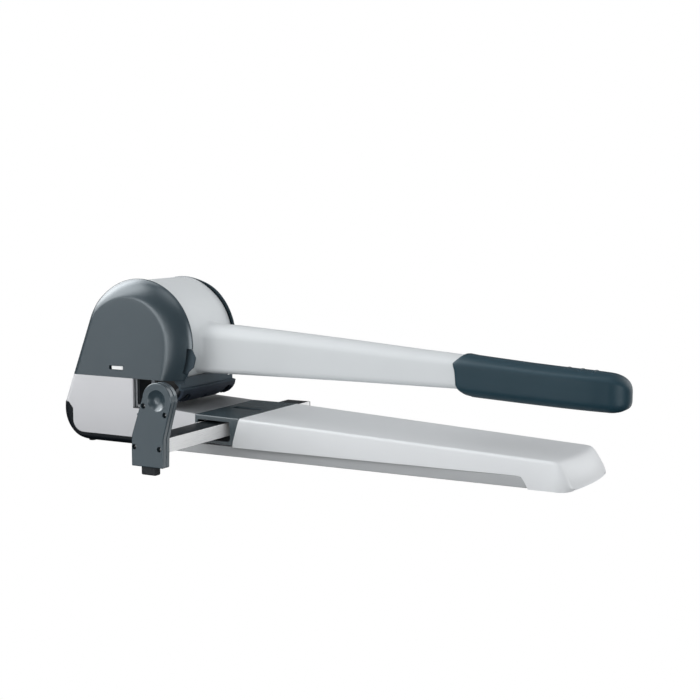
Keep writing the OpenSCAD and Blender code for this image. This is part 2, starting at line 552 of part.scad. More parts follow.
module bracket_front() color("#4d585d") difference() {
  ey(bfy, bmy) bracket_2d(0);
  ey(bfy + 2.4, bmy + 1) difference() { bracket_2d(2.4); for (p = [[87, 69], [112.4, 61.6], [75.4, 27.6], [105.4, 27.2]]) translate(p) circle(r = 4); translate([103, 75.3]) circle(r = 13); }
  box(rail_x - rail_w/2 - 0.05, rail_x + rail_w/2 + 0.05, rail_near - 0.05, -160, rail_top - rail_h - 0.05, rail_top + 0.05);
  // thumb dimple
  translate([103, bfy - 14.5, 75.3]) sphere(r = 18, $fn = 48);
  for (p = [[87, 69], [112.4, 61.6], [75.4, 27.6], [105.4, 27.2]]) cy(p[0], p[1], 3, -180, bfy + 2.6);
  bracket_cut();
}
module bracket_back() color("#4d585d") difference() {
  ey(bmy, bby) bracket_2d(0);
  ey(bmy - 1, bby - 2.4) difference() { bracket_2d(2.4); for (p = [[87, 69], [112.4, 61.6], [75.4, 27.6], [105.4, 27.2]]) translate(p) circle(r = 4); translate([103, 75.3]) circle(r = 6); }
  box(rail_x - rail_w/2 - 0.05, rail_x + rail_w/2 + 0.05, -180, -160, rail_top - rail_h - 0.05, rail_top + 0.05);
  bracket_cut();
}
module bracket_screws() color("#9a9ea1") for (p = [[87, 69], [112.4, 61.6], [75.4, 27.6], [105.4, 27.2]]) {
  cy(p[0], p[1], 1.75, bfy + 2.6, bby - 1);
  cy(p[0], p[1], 2.8, bfy + 1.2, bfy + 2.6);
}
module bracket_foot() color("#26292b") box(91 - 9, 91 + 9, -174.1, -165.1, 0, 15.9);

// ---------- assembly ----------
base_frame();
bottom_shell();
rear_housing();
front_housing();
under_plate();
table_plate();
die_bushes();
backstop();
rail_housing();
window_lens();
rail_guide();
brake_spring();
side_frame_left();
side_frame_right();
tie_rods();
tie_rod_nuts();
guide_plate();
guide_bushes();
main_shaft();
shaft_bushes();
shaft_clips();
side_cover_left();
side_cover_right();
rear_panel();
shroud_left();
shroud_right();
housing_screws();
rubber_feet();
rest_pad();
return_spring();
lever_shell();
lever_core();
grip();
pinion_left();
pinion_right();
latch_plate();
lever_screws();
crosshead();
rack_left();
rack_right();
rack_screws();
punch_pins();
guard();
lock_slider();
chip_tray();
rail();
rail_end_cap();
bracket_front();
bracket_back();
bracket_screws();
bracket_foot();
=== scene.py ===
import math

import bmesh
import bpy
import numpy as np
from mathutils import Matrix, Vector


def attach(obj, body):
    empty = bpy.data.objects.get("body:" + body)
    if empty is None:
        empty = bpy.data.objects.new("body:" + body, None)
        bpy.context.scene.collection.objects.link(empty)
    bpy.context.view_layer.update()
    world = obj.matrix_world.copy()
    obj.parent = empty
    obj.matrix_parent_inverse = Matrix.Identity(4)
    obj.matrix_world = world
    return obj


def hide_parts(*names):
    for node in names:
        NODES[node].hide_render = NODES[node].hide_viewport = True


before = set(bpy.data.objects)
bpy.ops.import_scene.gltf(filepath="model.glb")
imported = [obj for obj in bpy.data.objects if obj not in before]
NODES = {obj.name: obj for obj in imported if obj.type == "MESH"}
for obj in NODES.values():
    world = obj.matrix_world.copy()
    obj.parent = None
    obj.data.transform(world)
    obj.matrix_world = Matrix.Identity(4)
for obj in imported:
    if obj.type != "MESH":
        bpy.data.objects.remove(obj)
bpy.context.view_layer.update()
scene = bpy.context.scene
MM = 0.001
AX, AZ = -15.5, 113.4            # main axis, X and Z in mm
SEAM = 74.8


# ------------------------------------------------------------------ materials
def lin(hexa):
    h = hexa.lstrip("#")
    c = [int(h[i:i + 2], 16) / 255 for i in (0, 2, 4)]
    return [(x / 12.92 if x <= 0.04045 else ((x + 0.055) / 1.055) ** 2.4) for x in c]


def finish_mat(name, colour, rough=0.4, metal=0.0, vary=0.03, patch=18.0, grain=900.0, bump=0.02,
               rough_vary=0.05, coat=0.0, coat_rough=0.2, spec=0.5, stretch=(1, 1, 1), wear=0.0, wear_colour=None,
               speck=0.0, sheen=0.0):
    """A moulded, painted or machined finish: slow colour drift, fine grain in bump and roughness, paler rubbed edges."""
    m = bpy.data.materials.new(name)
    m.use_nodes = True
    nt = m.node_tree
    b = nt.nodes["Principled BSDF"]
    tc = nt.nodes.new("ShaderNodeTexCoord")
    mp = nt.nodes.new("ShaderNodeMapping")
    mp.inputs["Scale"].default_value = stretch
    nt.links.new(tc.outputs["Object"], mp.inputs["Vector"])
    slow = nt.nodes.new("ShaderNodeTexNoise")
    slow.inputs["Scale"].default_value = patch
    slow.inputs["Detail"].default_value = 3.0
    nt.links.new(tc.outputs["Object"], slow.inputs["Vector"])
    fine = nt.nodes.new("ShaderNodeTexNoise")
    fine.inputs["Scale"].default_value = grain
    fine.inputs["Detail"].default_value = 4.0
    fine.inputs["Roughness"].default_value = 0.6
    nt.links.new(mp.outputs["Vector"], fine.inputs["Vector"])
    base = lin(colour)
    ramp = nt.nodes.new("ShaderNodeValToRGB")
    ramp.color_ramp.elements[0].position = 0.3
    ramp.color_ramp.elements[1].position = 0.7
    ramp.color_ramp.elements[0].color = [max(0, c * (1 - vary)) for c in base] + [1]
    ramp.color_ramp.elements[1].color = [min(1, c * (1 + vary)) for c in base] + [1]
    nt.links.new(slow.outputs["Fac"], ramp.inputs["Fac"])
    out = ramp.outputs["Color"]
    if speck:
        mix = nt.nodes.new("ShaderNodeMix")
        mix.data_type = "RGBA"
        mix.blend_type = "MULTIPLY"
        mix.inputs["Factor"].default_value = speck
        r2 = nt.nodes.new("ShaderNodeValToRGB")
        r2.color_ramp.elements[0].position = 0.35
        r2.color_ramp.elements[1].position = 0.65
        r2.color_ramp.elements[0].color = (0.55, 0.55, 0.55, 1)
        r2.color_ramp.elements[1].color = (1, 1, 1, 1)
        nt.links.new(fine.outputs["Fac"], r2.inputs["Fac"])
        nt.links.new(out, mix.inputs["A"])
        nt.links.new(r2.outputs["Color"], mix.inputs["B"])
        out = mix.outputs["Result"]
    if wear:
        geo = nt.nodes.new("ShaderNodeNewGeometry")
        r3 = nt.nodes.new("ShaderNodeValToRGB")
        r3.color_ramp.elements[0].position = 0.52
        r3.color_ramp.elements[1].position = 0.62
        r3.color_ramp.elements[0].color = (0, 0, 0, 1)
        r3.color_ramp.elements[1].color = (wear, wear, wear, 1)
        nt.links.new(geo.outputs["Pointiness"], r3.inputs["Fac"])
        mix = nt.nodes.new("ShaderNodeMix")
        mix.data_type = "RGBA"
        nt.links.new(r3.outputs["Color"], mix.inputs["Factor"])
        nt.links.new(out, mix.inputs["A"])
        mix.inputs["B"].default_value = lin(wear_colour or "#E0E2E2") + [1]
        out = mix.outputs["Result"]
    nt.links.new(out, b.inputs["Base Color"])
    mr = nt.nodes.new("ShaderNodeMapRange")
    mr.inputs["From Min"].default_value = 0.3
    mr.inputs["From Max"].default_value = 0.7
    mr.inputs["To Min"].default_value = max(0.02, rough - rough_vary)
    mr.inputs["To Max"].default_value = min(1, rough + rough_vary)
    nt.links.new(fine.outputs["Fac"], mr.inputs["Value"])
    nt.links.new(mr.outputs["Result"], b.inputs["Roughness"])
    bp = nt.nodes.new("ShaderNodeBump")
    bp.inputs["Strength"].default_value = bump
    bp.inputs["Distance"].default_value = 0.0003
    nt.links.new(fine.outputs["Fac"], bp.inputs["Height"])
    nt.links.new(bp.outputs["Normal"], b.inputs["Normal"])
    b.inputs["Metallic"].default_value = metal
    b.inputs["Specular IOR Level"].default_value = spec
    b.inputs["Coat Weight"].default_value = coat
    b.inputs["Coat Roughness"].default_value = coat_rough
    b.inputs["Sheen Weight"].default_value = sheen
    return m


M = {
    "light_shell": finish_mat("light_shell", "#C9CACD", 0.42, vary=0.012, grain=1600, bump=0.10, rough_vary=0.05),
    "base_shell": finish_mat("base_shell", "#D8DBDD", 0.36, vary=0.012, grain=1600, bump=0.08, rough_vary=0.05),
    # painted shade: a darker copy of base_shell for the under plate, standing in for the shade below the skirt
    "base_shell_painted_shade": finish_mat("base_shell_painted_shade", "#B2B5B7", 0.42, vary=0.012, grain=1600, bump=0.08, rough_vary=0.05),
    "lever_paint": finish_mat("lever_paint", "#C8CCCE", 0.44, vary=0.01, grain=1300, bump=0.06, rough_vary=0.04, spec=0.3),
    "slate_plastic": finish_mat("slate_plastic", "#38454B", 0.25, vary=0.03, grain=1900, bump=0.16, rough_vary=0.05),
    "dark_plastic": finish_mat("dark_plastic", "#0D1318", 0.34, vary=0.05, grain=1700, bump=0.10, rough_vary=0.05, spec=0.16),
    "grip_rubber": finish_mat("grip_rubber", "#17323D", 0.42, vary=0.03, grain=2200, bump=0.16, rough_vary=0.06, spec=0.27),
    "slate_cover": finish_mat("slate_cover", "#2A373E", 0.23, vary=0.03, grain=1900, bump=0.14, rough_vary=0.04, spec=0.8),
    "guard_plastic": finish_mat("guard_plastic", "#222A35", 0.42, vary=0.03, grain=1900, bump=0.12, rough_vary=0.05, spec=0.1),
    "foot_rubber": finish_mat("foot_rubber", "#1B1F22", 0.75, vary=0.06, grain=1400, bump=0.4, rough_vary=0.08, spec=0.35),
    "table_metal": finish_mat("table_metal", "#85888B", 0.40, metal=0.3, vary=0.04, grain=1500, bump=0.06, rough_vary=0.08, stretch=(0.05, 1, 1), speck=0.22),
    # partly painted reflection: light aluminium made near-white and almost unmetallic, so its colour stands in for the
    # bright housing mirrored in the rail's side
    "rail_aluminium": finish_mat("rail_aluminium", "#FAFBFB", 0.30, metal=0.05, vary=0.01, grain=1500, bump=0.03, rough_vary=0.05, stretch=(1, 0.03, 1), speck=0.03),
    "steel": finish_mat("steel", "#9DA1A4", 0.36, metal=0.95, vary=0.04, grain=800, bump=0.08, rough_vary=0.10, stretch=(1, 0.2, 1), speck=0.2),
    "spring_steel": finish_mat("spring_steel", "#B9BDC0", 0.26, metal=1.0, vary=0.03, grain=700, bump=0.04, rough_vary=0.06),
    # painted shade: tool steel given a dark colour, standing in for the shade that the punch pins and die bushes sit in
    "tool_steel": finish_mat("tool_steel", "#5D6165", 0.3, metal=1.0, vary=0.02, grain=900, bump=0.03, rough_vary=0.05, stretch=(1, 1, 0.1)),
    "bronze": finish_mat("bronze", "#B08D4A", 0.34, metal=1.0, vary=0.06, grain=900, bump=0.06, rough_vary=0.08, speck=0.2),
    "indicator_white": finish_mat("indicator_white", "#ECEDED", 0.35, vary=0.01, grain=1500, bump=0.05),
    "steel_black": finish_mat("steel_black", "#23272A", 0.38, metal=0.6, vary=0.05, grain=900, bump=0.05, rough_vary=0.08),
    "clear_lens": finish_mat("clear_lens", "#0A141E", 0.22, vary=0.03, grain=600, bump=0.01, rough_vary=0.02, spec=0.1),
}


def paint_light_above(m, colour, z0, z1):
    """Paints the part of a piece above z0 (metres, in the piece's own frame) in another colour, used as painted light.
    """
    nt = m.node_tree
    b = nt.nodes["Principled BSDF"]
    src = b.inputs["Base Color"].links[0].from_socket
    tc = nt.nodes.new("ShaderNodeTexCoord")
    sp = nt.nodes.new("ShaderNodeSeparateXYZ")
    nt.links.new(tc.outputs["Object"], sp.inputs[0])
    mr = nt.nodes.new("ShaderNodeMapRange")
    mr.inputs["From Min"].default_value = z0
    mr.inputs["From Max"].default_value = z1
    nt.links.new(sp.outputs["Z"], mr.inputs["Value"])
    mix = nt.nodes.new("ShaderNodeMix")
    mix.data_type = "RGBA"
    nt.links.new(mr.outputs["Result"], mix.inputs["Factor"])
    nt.links.new(src, mix.inputs["A"])
    mix.inputs["B"].default_value = lin(colour) + [1]
    nt.links.new(mix.outputs["Result"], b.inputs["Base Color"])


# painted light: the guard above 64 mm is made lighter, standing in for the light its upper part catches
paint_light_above(M["guard_plastic"], "#3E4A52", 0.064, 0.068)
M["slate_cover"].node_tree.nodes["Principled BSDF"].inputs["Specular Tint"].default_value = (0.9, 0.965, 1.0, 1)


# ------------------------------------------------------------------ mesh helpers
def link(name, me, mat):
    ob = bpy.data.objects.new(name, me)
    scene.collection.objects.link(ob)
    ob.data.materials.clear()
    ob.data.materials.append(M[mat])
    return ob


def mesh(name, verts, faces, mat, weld=True, angle=None):
    """Verts in millimetres."""
    me = bpy.data.meshes.new(name)
    me.from_pydata([(x * MM, y * MM, z * MM) for x, y, z in verts], [], faces)
    bm = bmesh.new()
    bm.from_mesh(me)
    if weld:
        bmesh.ops.remove_doubles(bm, verts=bm.verts, dist=2e-6)
        bmesh.ops.dissolve_degenerate(bm, dist=1e-7, edges=bm.edges)
    bmesh.ops.recalc_face_normals(bm, faces=bm.faces)
    for f in bm.faces:
        f.smooth = True
    bm.to_mesh(me)
    bm.free()
    if angle:
        me.set_sharp_from_angle(angle=math.radians(angle))
    return link(name, me, mat)


def grid(nr, nc, close_c=False, base=0, flip=False):
    out = []
    for i in range(nr - 1):
        for j in range(nc - (0 if close_c else 1)):
            a, b = base + i * nc + j, base + i * nc + (j + 1) % nc
            out.append((a, b, b + nc, a + nc) if not flip else (a + nc, b + nc, b, a))
    return out


def rings(name, rr, mat, caps=(True, True), angle=None):
    """A loft through closed rings with the same count of points."""
    n = len(rr[0])
    v = [tuple(p) for r in rr for p in r]
    f = grid(len(rr), n, True)
    if caps[0]:
        f.append(tuple(range(n)))
    if caps[1]:
        f.append(tuple(range((len(rr) - 1) * n, len(rr) * n)))
    return mesh(name, v, f, mat, angle=angle)


def solid_between(name, outer, inner, nr, nc, mat, angle=None):
    """A shell: an outer and an inner grid of points, joined along their borders."""
    v = list(outer) + list(inner)
    k = nr * nc
    f = grid(nr, nc) + grid(nr, nc, base=k, flip=True)
    rim = [(0, j) for j in range(nc)] + [(i, nc - 1) for i in range(1, nr)] + [(nr - 1, j) for j in range(nc - 2, -1, -1)] + [(i, 0) for i in range(nr - 2, 0, -1)]
    idx = [i * nc + j for i, j in rim]
    for a, b in zip(idx, idx[1:] + idx[:1]):
        f.append((a, b, b + k, a + k))
    return mesh(name, v, f, mat, angle=angle)


def poly_prism(name, outer, holes, axis, a0, a1, mat):
    """A flat outline with holes, extruded along axis 'x', 'y' or 'z' from a0 to a1."""
    from mathutils.geometry import tessellate_polygon
    loops = [outer] + list(holes)
    flat = [p for l in loops for p in l]
    tris = tessellate_polygon([[Vector((p[0], p[1], 0)) for p in l] for l in loops])
    place = {"y": lambda p, t: (p[0], t, p[1]), "z": lambda p, t: (p[0], p[1], t), "x": lambda p, t: (t, p[0], p[1])}[axis]
    n = len(flat)
    v = [place(p, a0) for p in flat] + [place(p, a1) for p in flat]
    f = [tuple(t) for t in tris] + [tuple(i + n for i in reversed(t)) for t in tris]
    s = 0
    for l in loops:
        for i in range(len(l)):
            a, b = s + i, s + (i + 1) % len(l)
            f.append((a, b, b + n, a + n))
        s += len(l)
    me_ob = mesh(name, v, f, mat)
    bm = bmesh.new()
    bm.from_mesh(me_ob.data)
    bmesh.ops.dissolve_limit(bm, angle_limit=math.radians(0.5), verts=bm.verts, edges=bm.edges)
    bmesh.ops.recalc_face_normals(bm, faces=bm.faces)
    bm.to_mesh(me_ob.data)
    bm.free()
    return me_ob


def bevel(ob, width, segments=3, angle=28, weighted=True, clamp=True):
    m = ob.modifiers.new("edge", "BEVEL")
    m.width = width * MM
    m.segments = segments
    m.limit_method = "ANGLE"
    m.angle_limit = math.radians(angle)
    m.use_clamp_overlap = clamp
    m.miter_outer = "MITER_ARC"
    if weighted:
        w = ob.modifiers.new("normals", "WEIGHTED_NORMAL")
        w.keep_sharp = True
        w.weight = 50
    return ob


def bake(ob, angle=None):
    """Replaces the mesh by what its modifiers make of it."""
    bpy.context.view_layer.update()
    dg = bpy.context.evaluated_depsgraph_get()
    me = bpy.data.meshes.new_from_object(ob.evaluated_get(dg), preserve_all_data_layers=True, depsgraph=dg)
    ob.modifiers.clear()
    ob.data = me
    if angle:
        me.set_sharp_from_angle(angle=math.radians(angle))
    return ob


def cut(ob, tools, angle=30):
    """Takes the tool solids out of ob, then removes the tools."""
    for t in tools:
        m = ob.modifiers.new("cut", "BOOLEAN")
        m.operation = "DIFFERENCE"
        m.solver = "EXACT"
        m.object = t
    bake(ob, angle)
    for t in tools:
        bpy.data.objects.remove(t)
    return ob


def place(ob, body, *nodes):
    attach(ob, body)
    if nodes:
        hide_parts(*nodes)
    return ob


def arc(cx, cz, r, a0, a1, n):
    return [(cx + r * math.cos(math.radians(a0 + (a1 - a0) * i / n)), cz + r * math.sin(math.radians(a0 + (a1 - a0) * i / n))) for i in range(n + 1)]


def rod(name, axis, c, r, a0, a1, mat, n=40, ch=0.0):
    """A round bar along an axis, with a chamfered end at each side when ch is set. c is the two other coordinates."""
    rr = []
    for t, rad in ([(a0, r - ch), (a0 + ch, r), (a1 - ch, r), (a1, r - ch)] if ch else [(a0, r), (a1, r)]):
        ring = []
        for i in range(n):
            a = 2 * math.pi * i / n
            u, w = rad * math.cos(a), rad * math.sin(a)
            ring.append({"x": (t, c[0] + u, c[1] + w), "y": (c[0] + u, t, c[1] + w), "z": (c[0] + u, c[1] + w, t)}[axis])
        rr.append(ring)
    return rings(name, rr, mat, angle=30)


def lerp(a, b, t):
    return a + (b - a) * t


def interp(x, xs, ys):
    return float(np.interp(x, xs, ys))


def smooth(t):
    t = min(1.0, max(0.0, t))
    return t * t * (3 - 2 * t)


def hx(x):
    return 53.5 if x < -18 else 53.5 + (x + 18) * 4.4 / 84.7


def tz(x):
    return 46.5 if x < 13 else 46.5 - (x - 13) * 3.3 / 53.7


def rearx(z):
    return -104 + 0.39 * (z - 75)


# ------------------------------------------------------------------ camera, light and floor
cam_data = bpy.data.cameras.new("camera")
cam = bpy.data.objects.new("camera", cam_data)
scene.collection.objects.link(cam)
scene.camera = cam
az, el = math.radians(28.569), math.radians(6.585)
back = Vector((math.sin(az) * math.cos(el), -math.cos(az) * math.cos(el), math.sin(el)))
cam.location = (0.9268, -1.2942, 0.2840)
cam.rotation_mode = "QUATERNION"
cam.rotation_quaternion = (-back).to_track_quat("-Z", "Y")
cam_data.lens = 73.56
cam_data.sensor_width = 36.0
cam_data.clip_start = 0.05
cam_data.clip_end = 30.0

world = bpy.data.worlds.new("studio")
scene.world = world
world.use_nodes = True
wt = world.node_tree
wt.nodes.clear()


def wn(kind, **kw):
    n = wt.nodes.new(kind)
    for k, v in kw.items():
        setattr(n, k, v)
    return n


w_out = wn("ShaderNodeOutputWorld")
w_tc = wn("ShaderNodeTexCoord")
w_sep = wn("ShaderNodeSeparateXYZ")
wt.links.new(w_tc.outputs["Generated"], w_sep.inputs[0])


def wmap(src, f0, f1, t0, t1):
    n = wn("ShaderNodeMapRange", interpolation_type="SMOOTHSTEP")
    for key, val in (("From Min", f0), ("From Max", f1), ("To Min", t0), ("To Max", t1)):
        n.inputs[key].default_value = val
    wt.links.new(src, n.inputs["Value"])
    return n.outputs["Result"]


def wmath(op, x, y):
    n = wn("ShaderNodeMath", operation=op)
    for i, q in enumerate((x, y)):
        if op == "ABSOLUTE" and i:
            break
        if isinstance(q, (int, float)):
            n.inputs[i].default_value = q
        else:
            wt.links.new(q, n.inputs[i])
    return n.outputs[0]


def lobe(direction, outer, inner, strength):
    """A soft round light in the studio's walls, as a lobe of directions."""
    d = Vector(direction).normalized()
    n = wn("ShaderNodeVectorMath", operation="DOT_PRODUCT")
    wt.links.new(w_tc.outputs["Generated"], n.inputs[0])
    n.inputs[1].default_value = d
    return wmap(n.outputs["Value"], math.cos(math.radians(outer)), math.cos(math.radians(inner)), 0.0, strength)


# soft light from all sides, stronger from the front left
soft = wmap(w_sep.outputs["Z"], 0.15, 0.85, 1.0, 0.45)
for args in (((-0.45, -0.87, 0.2), 78, 15, 0.85), ((0.1, 0.75, 0.62), 55, 15, 0.45),
             ((0.4, 0.1, 0.9), 50, 15, 0.26)):
    soft = wmath("ADD", soft, lobe(*args))
# what glossy surfaces reflect: a dark studio with several soft boxes
total = wmath("ADD", wmap(w_sep.outputs["Z"], -0.5, -0.05, 0.03, 0.07), wmap(w_sep.outputs["Z"], 0.1, 0.5, 0.0, 0.15))
for args in (((-0.8, 0.08, 0.58), 30, 14, 5.4), ((-0.76, -0.40, 0.48), 30, 12, 5.0), ((-0.45, -0.15, 0.87), 24, 8, 2.6), ((-0.475, -0.872, -0.115), 24, 13, 0.46), ((0.74, -0.66, -0.05), 25, 8, 4.4), ((0.5, 0.86, -0.1), 40, 16, 1.2), ((0.45, 0.75, 0.47), 30, 12, 1.8),
             ((0.92, 0.15, 0.33), 27, 10, 0.8), ((0.07, -0.67, 0.73), 22, 8, 1.5), ((0.26, -0.95, -0.1), 8, 3, 0.7), ((0.25, -0.1, 1.0), 45, 15, 0.4)):
    total = wmath("ADD", total, lobe(*args))
# a bright frame round the front left soft box
frame_dot = wn("ShaderNodeVectorMath", operation="DOT_PRODUCT")
wt.links.new(w_tc.outputs["Generated"], frame_dot.inputs[0])
frame_dot.inputs[1].default_value = Vector((-0.475, -0.872, -0.115)).normalized()
frame_in = wmap(frame_dot.outputs["Value"], math.cos(math.radians(21)), math.cos(math.radians(15)), 0.0, 1.0)
frame_out = wmap(frame_dot.outputs["Value"], math.cos(math.radians(12)), math.cos(math.radians(7)), 1.0, 0.0)
frame_side = wmath("MULTIPLY", wmap(w_sep.outputs["X"], -0.74, -0.5, 0.0, 1.0), wmap(w_sep.outputs["Z"], -0.34, -0.14, 0.0, 1.0))
total = wmath("ADD", total, wmath("MULTIPLY", wmath("MULTIPLY", frame_in, frame_out), wmath("MULTIPLY", frame_side, 4.8)))
w_lp = wn("ShaderNodeLightPath")
w_pick = wn("ShaderNodeMapRange")
wt.links.new(w_lp.outputs["Is Glossy Ray"], w_pick.inputs["Value"])
wt.links.new(soft, w_pick.inputs["To Min"])
wt.links.new(total, w_pick.inputs["To Max"])
w_bg = wn("ShaderNodeBackground")
wt.links.new(w_pick.outputs["Result"], w_bg.inputs["Strength"])
w_bg.inputs["Color"].default_value = (0.985, 0.99, 1, 1)
w_white = wn("ShaderNodeBackground")
w_white.inputs["Strength"].default_value = 1.0
w_white.inputs["Color"].default_value = (1, 1, 1, 1)
w_mix = wn("ShaderNodeMixShader")
wt.links.new(w_lp.outputs["Is Camera Ray"], w_mix.inputs["Fac"])
wt.links.new(w_bg.outputs[0], w_mix.inputs[1])
wt.links.new(w_white.outputs[0], w_mix.inputs[2])
wt.links.new(w_mix.outputs[0], w_out.inputs["Surface"])
scene.view_settings.view_transform = "Standard"
scene.view_settings.look = "None"


def area(name, loc, target, size, power, size_y=None, colour=(1, 1, 1)):
    d = bpy.data.lights.new(name, "AREA")
    d.energy = power
    d.color = colour
    d.size = size
    if size_y:
        d.shape = "RECTANGLE"
        d.size_y = size_y
    o = bpy.data.objects.new(name, d)
    scene.collection.objects.link(o)
    o.location = loc
    o.rotation_mode = "QUATERNION"
    o.rotation_quaternion = (Vector(target) - Vector(loc)).to_track_quat("-Z", "Y")
    return o


area("key", (-0.9, -1.3, 1.3), (0.15, 0.0, 0.08), 0.5, 2)
area("top", (0.3, 0.2, 1.7), (0.2, 0.0, 0.0), 0.25, 0.8)

bm = bmesh.new()
bmesh.ops.create_circle(bm, cap_ends=True, segments=96, radius=7.0)
floor_me = bpy.data.meshes.new("floor")
bm.to_mesh(floor_me)
bm.free()
floor = bpy.data.objects.new("floor", floor_me)
scene.collection.objects.link(floor)
floor.location = (0, 0, -0.0002)
fm = bpy.data.materials.new("floor")
fm.use_nodes = True
fnt = fm.node_tree
fnt.nodes.clear()
fo = fnt.nodes.new("ShaderNodeOutputMaterial")
em = fnt.nodes.new("ShaderNodeEmission")
em.inputs["Color"].default_value = (1, 1, 1, 1)
flp = fnt.nodes.new("ShaderNodeLightPath")
fmr = fnt.nodes.new("ShaderNodeMapRange")
fmr.inputs["To Max"].default_value = 1.0
fnt.links.new(flp.outputs["Is Camera Ray"], fmr.inputs["Value"])
fnt.links.new(fmr.outputs["Result"], em.inputs["Strength"])
# the light that the floor throws back fades to nothing below the object
ftc = fnt.nodes.new("ShaderNodeTexCoord")
fva = fnt.nodes.new("ShaderNodeVectorMath")
fva.operation = "SUBTRACT"
fva.inputs[1].default_value = (0.185, -0.02, 0)
fvb = fnt.nodes.new("ShaderNodeVectorMath")
fvb.operation = "ABSOLUTE"
fvc = fnt.nodes.new("ShaderNodeVectorMath")
fvc.operation = "SUBTRACT"
fvc.inputs[1].default_value = (0.31, 0.07, 0)
fvd = fnt.nodes.new("ShaderNodeVectorMath")
fvd.operation = "MAXIMUM"
fve = fnt.nodes.new("ShaderNodeVectorMath")
fve.operation = "LENGTH"
for u, w in ((ftc.outputs["Object"], fva.inputs[0]), (fva.outputs[0], fvb.inputs[0]), (fvb.outputs[0], fvc.inputs[0]), (fvc.outputs[0], fvd.inputs[0]),
             (fvd.outputs[0], fve.inputs[0])):
    fnt.links.new(u, w)


def fmap(src, f0, f1, t0, t1):
    n = fnt.nodes.new("ShaderNodeMapRange")
    n.interpolation_type = "SMOOTHSTEP"
    for key, val in (("From Min", f0), ("From Max", f1), ("To Min", t0), ("To Max", t1)):
        n.inputs[key].default_value = val
    fnt.links.new(src, n.inputs["Value"])
    return n.outputs["Result"]


fsoft = fmap(fve.outputs["Value"], 0.0, 0.14, 0.09, 0.95)
fnt.links.new(fsoft, fmr.inputs["To Min"])
fclear = fnt.nodes.new("ShaderNodeBsdfTransparent")
fmix = fnt.nodes.new("ShaderNodeMixShader")
fnt.links.new(flp.outputs["Is Glossy Ray"], fmix.inputs["Fac"])
fnt.links.new(em.outputs["Emission"], fmix.inputs[1])
fnt.links.new(fclear.outputs[0], fmix.inputs[2])
fnt.links.new(fmix.outputs[0], fo.inputs["Surface"])
floor_me.materials.append(fm)


# ------------------------------------------------------------------ head: side covers
def shoulder_profile():
    """Share of depth against share of inset over a cover's shoulder: steep at the rim, flattening evenly into the face."""
    t = np.linspace(0, 1, 401)
    slope = np.tan(np.radians(np.interp(t, [0, 0.03, 0.08, 0.16, 0.28, 0.45, 0.62, 0.76, 0.85, 0.93, 1], [70, 56, 44, 36, 31, 26, 22, 19, 15, 9, 2])))
    u = np.r_[0, np.cumsum((slope[1:] + slope[:-1]) / 2)]
    keys = [0, 0.008, 0.022, 0.045, 0.08, 0.12, 0.17, 0.23, 0.31, 0.4, 0.5, 0.6, 0.68, 0.75, 0.81, 0.86, 0.9, 0.94, 0.97, 1.0]
    return [(float(np.interp(k, t, u / u[-1])), k) for k in keys]


PROFILE_FRONT = shoulder_profile()
K = len(PROFILE_FRONT)
PROFILE_REAR = [(math.sin(math.pi / 2 * i / (K - 1)), 1 - math.cos(math.pi / 2 * i / (K - 1))) for i in range(K)]
RIM_Y, FACE_Y = 41.8, 53.5


